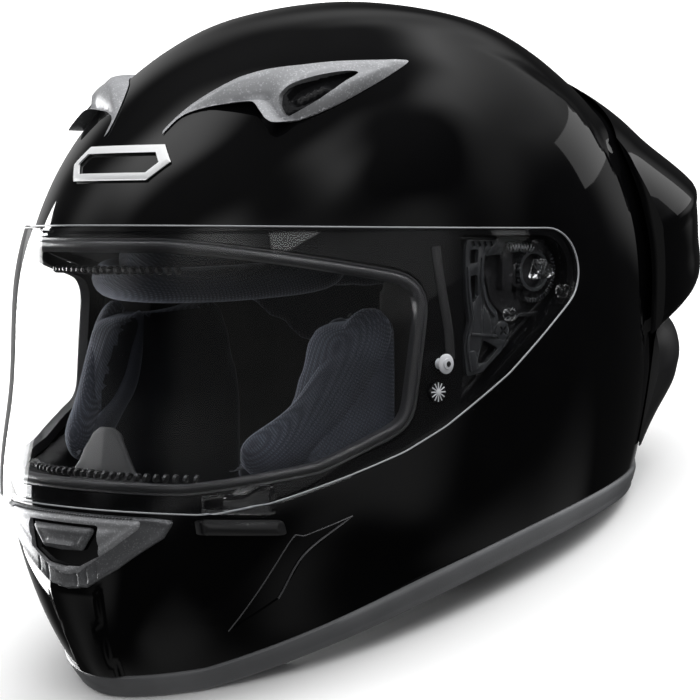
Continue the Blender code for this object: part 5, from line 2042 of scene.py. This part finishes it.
    def screws(self, side: int, word: str) -> None:
        """The two screws of a side: a cross-slotted head above and a plain disc below."""
        base = POCKET_FLOOR + self.plate[1]
        for (y, z), level, height in ((self.upper_screw, "upper", 2.4), (self.lower_screw, "lower", 1.9)):
            radius = 3.4 if level == "upper" else 4.3
            foot = (base - 0.8, y, z)
            head = lathe(
                [(radius, 0), (radius, height), (radius - 0.4, height + 0.5), (radius * 0.5, height + 0.75)],
                foot, (1, 0, 0), 36,
            )
            for slant in (45, 135):
                slot = slanted((y, z), (radius * 1.1, 0.8), slant)
                cut(head, prism(slot, "X", base - 0.8 + height - 0.3, base + 9))
            place_piece(
                sided(head, side), f"plate_screw_{level}_{word}_head",
                MOULDING if level == "upper" else LEVER,
                replaces=(f"plate_screw_{level}_{word}",),
            )


@dataclass
class SeatRib:
    """The moulded rib on the shell in front of each mechanism, under the visor."""

    def build(self) -> None:
        """Makes the rib on each side."""
        path = smooth_path([(-55.0, 10.5), (-54.2, 0), (-52.4, -12), (-50.2, -24), (-49.0, -36)], 8)
        centre = np.array([FORM.on_side(y, z, -1.0) for y, z in path])
        half = [(-2.2, -0.6), (-2.0, 0.9), (-1.2, 1.75)]
        for side, word in SIDES:
            rib = moulding(centre, [*half, (0, 2.0), *mirrored(half)], False)
            place_piece(sided(rib, side), f"seat_rib_{word}", SATIN)


@dataclass
class LiftTab:
    """The thumb tab at the visor's left lower edge and the catch under it."""

    proud: float = 4.55

    def build(self) -> None:
        """Makes the tab and the catch."""
        low, high = VISOR_BOTTOM + 0.3, VISOR_BOTTOM + 12.4
        tab = rounded(
            ((69.4, low), (91.4, low), (91.6, high), (84.6, high), (80.0, low + 8.6), (69.4, low + 7.4)),
            1.8, 4
        )
        eye = rounded(((71.4, low + 2), (79.4, low + 2), (78.6, low + 6.8), (71.4, low + 5.9)), 0.9, 3)

        def height(x: np.ndarray, z: np.ndarray, d: np.ndarray) -> np.ndarray:
            """A pillow with a dished middle and two finger ridges."""
            ridge = 0.5 * np.exp(-(((z - low - 3.4) / 0.7) ** 2)) + 0.5 * np.exp(
                -(((z - low - 6.2) / 0.7) ** 2)
            )
            return self.proud + 2.2 * (1 - np.exp(-d / 1.0)) + ridge * ease(x, 80, 83)

        made = patch(tab, height, self.proud, 0.7)
        cut(made, prism(eye, "Y", -FAR, -40))
        place_piece(made, "visor_tab", CLEAR_PART, "visor", ("visor_lift_tab",)).visible_shadow = False
        foot, top = VISOR_BOTTOM - 8.8, VISOR_BOTTOM - 2.2
        catch = rounded(((66.2, foot), (89.8, foot), (89.8, top), (66.2, top)), 1.8, 3)
        body = patch(catch, lambda x, z, d: 0.9 + 2.6 * (1 - np.exp(-d / 1.2)), 0.8, 0.7)
        place_piece(body, "visor_catch", SATIN, replaces=("visor_latch",))


# --- inside ---


def cad_copy(name: str) -> Object:
    """A copy of a frame node's mesh, merged, in head axes and millimetres."""
    source = bpy.data.objects[name]
    obj = linked(f"{name}_copy", source.data.copy())
    obj.data.transform(frame_matrix().inverted() @ source.matrix_world)
    obj.data.materials.clear()
    return outward(obj, 0.01)


def remeshed(obj: Object, voxel: float, smooth: int) -> Object:
    """Rebuilds a solid from even faces.

    Args:
        obj: the solid.
        voxel: the size of the faces.
        smooth: how many times it is smoothed.

    Returns:
        The solid.
    """
    modifier = obj.modifiers.new("even", "REMESH")
    modifier.mode = "VOXEL"
    modifier.voxel_size = voxel
    bake(obj)
    if smooth:
        soften = obj.modifiers.new("soft", "SMOOTH")
        soften.factor = 0.5
        soften.iterations = smooth
        bake(obj)
    return obj


def swollen(obj: Object, pressure: float, cap: float) -> Object:
    """Fills a cushion out under pressure, by no more than a cap, and rounds it off.

    Args:
        obj: the evenly meshed cushion, in millimetres.
        pressure: how hard it is filled.
        cap: the furthest any point may move, in millimetres.

    Returns:
        The filled cushion.
    """
    before = np.array([v.co for v in obj.data.vertices])
    obj.data.transform(Matrix.Scale(MM, 4))
    modifier = obj.modifiers.new("fill", "CLOTH")
    settings = modifier.settings
    settings.quality = 4
    settings.mass = 0.3
    settings.tension_stiffness = settings.compression_stiffness = 12
    settings.bending_stiffness = 1.5
    settings.use_pressure = True
    settings.uniform_pressure_force = pressure
    settings.effector_weights.gravity = 0
    modifier.collision_settings.use_collision = False
    modifier.point_cache.frame_start, modifier.point_cache.frame_end = 1, 20
    scene = bpy.context.scene
    for step in range(1, 21):
        scene.frame_set(step)
    bake(obj)
    scene.frame_set(1)
    obj.data.transform(Matrix.Scale(1 / MM, 4))
    after = np.array([v.co for v in obj.data.vertices])
    move = after - before
    far = np.linalg.norm(move, axis=1, keepdims=True)
    place = before + move * np.minimum(1, cap / np.maximum(far, 1e-9))
    for vertex, co in zip(obj.data.vertices, place):
        vertex.co = co
    finer = obj.modifiers.new("fine", "SUBSURF")
    finer.levels = 1
    return bake(obj)


@dataclass
class Liner:
    """The foam that lines the shell and the chin bar."""

    def build(self) -> None:
        """Makes both foam parts."""
        for node, name, coarse, fine in (
            ("eps_liner", "foam_liner", 4.5, 3.0), ("chin_bar_liner", "foam_chin", 4.0, 2.6)
        ):
            foam = remeshed(cad_copy(node), fine, 3)
            place_piece(foam, name, FOAM, replaces=(node,), sharp=60.0)


@dataclass
class Pads:
    """The cloth pads: crown, cheeks and neck roll."""

    def build(self) -> None:
        """Makes the pads."""
        pads = (
            ("crown_pad", "crown_cushion", SPACER, 2.0),
            ("cheek_pad_left", "cheek_cushion_left", TWILL, 3.0),
            ("cheek_pad_right", "cheek_cushion_right", TWILL, 3.0),
            ("neck_roll", "neck_cushion", VELVET, 2.0),
        )
        for node, name, finish, cap in pads:
            pad = remeshed(cad_copy(node), 5.0, 4)
            pad = swollen(pad, 2.0, cap)
            made = place_piece(pad, name, finish, replaces=(node,), sharp=70.0)
            if node.startswith("cheek"):
                self.paint_inner_shade(made)

    def paint_inner_shade(self, pad: Object) -> None:
        """Gives a cheek pad's inner and rear faces a darker copy of its brushed cloth as painted shade, since
        they lie in shadow.
        """
        pad.data.materials.append(PAINTED_SHADE_VELVET.build())
        for polygon in pad.data.polygons:
            towards = -polygon.normal.x * math.copysign(1, polygon.center.x)
            # Faces that turn inwards or to the rear get the painted shade.
            if towards > 0.6 or polygon.normal.y > 0.3:
                polygon.material_index = 1


@dataclass
class NoseGuard:
    """The rubber breath guard behind the chin bar."""

    def build(self) -> None:
        """Makes the guard from the frame's own, drawn in to a rounded peak."""
        half = ((34.0, -104.0), (29.0, -93.0), (17.0, -80.0), (9.0, -68.6), (4.0, -66.0))
        outline = rounded([*half, *mirrored(half)], 4.0, 4)
        guard = keep(cad_copy("breath_guard"), prism(outline, "Y", -FAR, -40))
        made = remeshed(guard, 0.9, 6)
        place_piece(made, "breath_guard_rubber", SOFT_RUBBER, replaces=("breath_guard",), sharp=70.0)


@dataclass
class PortTrim:
    """What shows just inside the eye port: padded rolls with piping and stitches, and slatted air strips."""

    twill: tuple[tuple[float, float, float], ...] = (
        (89.0, -62.0, -16.0), (87.0, -70.0, -32.0), (82.0, -79.0, -48.0), (76.0, -88.0, -63.0),
        (68.0, -98.0, -73.0),
        (57.0, -109.0, -80.0),
    )
    velvet: tuple[tuple[float, float, float], ...] = (
        (70.0, -64.0, -20.0), (67.5, -69.0, -36.0), (66.0, -74.0, -52.0), (66.0, -83.0, -66.0),
        (63.0, -94.0, -77.0),
        (52.0, -106.0, -85.0),
    )
    brow: tuple[tuple[float, float, float], ...] = (
        (72.0, -66.0, -1.0), (60.0, -86.0, -3.0), (36.0, -104.0, -5.5), (0.0, -112.0, -6.5),
        (-36.0, -104.0, -5.5),
        (-60.0, -86.0, -3.0), (-72.0, -66.0, -1.0),
    )

    def build(self) -> None:
        """Makes the rolls of both cheeks, the brow roll and the air strips."""
        for side, word in SIDES:
            for path, name, finish, size in (
                (self.twill, "twill", TWILL, (11.0, 7.0)), (self.velvet, "velvet", VELVET, (7.5, 5.0)),
            ):
                points = smooth_path(path, 9) * (side, 1, 1)
                place_piece(self.roll(points, size), f"cheek_{name}_{word}", finish, sharp=80.0)
            seam = (smooth_path(self.twill, 9) * 0.42 + smooth_path(self.velvet, 9) * 0.58) * (side, 1, 1)
            seam[:, 1] -= 3.4
            place_piece(self.roll(seam, (1.1, 1.1), 10), f"cheek_piping_{word}", THREAD, sharp=80.0)
            stitches = repeated(seam + (0, -1.3, 0), new_tooth(2.1, 0.5, 0.5), THREAD, 3.3, 0.4)
            place_piece(stitches, f"cheek_stitches_{word}", THREAD)
        place_piece(self.roll(smooth_path(self.brow, 12), (7.5, 8.5)), "brow_roll", SPACER, sharp=80.0)
        self.strips()

    def roll(self, path: np.ndarray, size: Pair, count: int = 20) -> Object:
        """A stuffed roll along a path, drawn in at both ends: its half width and half depth are its size."""
        along = normalised(np.gradient(path, axis=0))
        inwards = np.array((0.0, 40.0, -40.0)) - path
        across = normalised(np.cross(along, inwards))
        up = np.cross(across, along)
        share = np.linspace(0, 1, len(path))
        full = np.clip(1 - np.abs(2 * share - 1) ** 7, 0.02, 1)[:, None, None] ** 0.5
        turn = np.linspace(0, math.tau, count, endpoint=False)[None, :, None]
        rings = path[:, None] + full * (
            across[:, None] * np.cos(turn) * size[0] + up[:, None] * np.sin(turn) * size[1]
        )
        return sweep(rings, False)

    def strips(self) -> None:
        """The slatted strips over the brow roll and along the top of the chin bar."""
        for name, height, reach, depth, lean in (
            ("brow", 3.0, 46.0, 12.0, 0.35), ("chin", -84.0, 62.0, 11.0, -0.3)
        ):
            x = np.linspace(-reach, reach, 61)
            path = np.array([FORM.on_front(a, height, -depth) for a in x])
            slats = repeated(path, new_tooth(0.8, 3.4, 4.0), RUBBER, 4.4, lean)
            place_piece(slats, f"{name}_air_slats", RUBBER)


@dataclass
class Curtain:
    """The cloth curtain that closes the gap under the wearer's chin."""

    flat: Pair = (0.175, 0.017)

    def build(self) -> None:
        """Makes the curtain from the frame's own piece, remeshed."""
        source = cad_copy("chin_curtain")
        made = remeshed(source, 1.3, 2)
        piece = place_piece(made, "chin_curtain_cloth", VELVET, replaces=("chin_curtain",), sharp=60.0)


@dataclass
class ChinStrap:
    """The chin strap: two webbing bands, their anchors and the double D-rings."""

    def build(self) -> None:
        """Makes the bands, anchors and rings from the frame's own pieces."""
        for word in ("left", "right"):
            band = cad_copy(f"chin_strap_{word}")
            place_piece(
                bevelled(band, 0.4, 2, 40), f"webbing_{word}", BAND, replaces=(f"chin_strap_{word}",),
                sharp=40.0
            )
            anchor = cad_copy(f"strap_anchor_{word}")
            place_piece(
                bevelled(anchor, 0.6, 3, 40), f"anchor_plate_{word}", STEEL,
                replaces=(f"strap_anchor_{word}",)
            )
        for word in ("upper", "lower"):
            ring = cad_copy(f"d_ring_{word}")
            place_piece(ring, f"steel_ring_{word}", STEEL, f"ring_{word}", (f"d_ring_{word}",), 80.0)


def main() -> None:
    """Builds every part of the helmet and the studio round it."""
    logging.basicConfig(level=logging.INFO, format="%(name)s: %(message)s")
    parts = (
        OuterShell(), EyePort(), BaseTrim(), Visor(), BrowVents(), ChinVent(), Badge(), Spoiler(), Exhaust(),
        Mechanism(), SeatRib(), LiftTab(), Liner(), Pads(), NoseGuard(), PortTrim(), Curtain(), ChinStrap(),
        Studio(),
    )
    for part in parts:
        LOG.info("building %s", type(part).__name__)
        part.build()


if __name__ == "__main__":
    main()
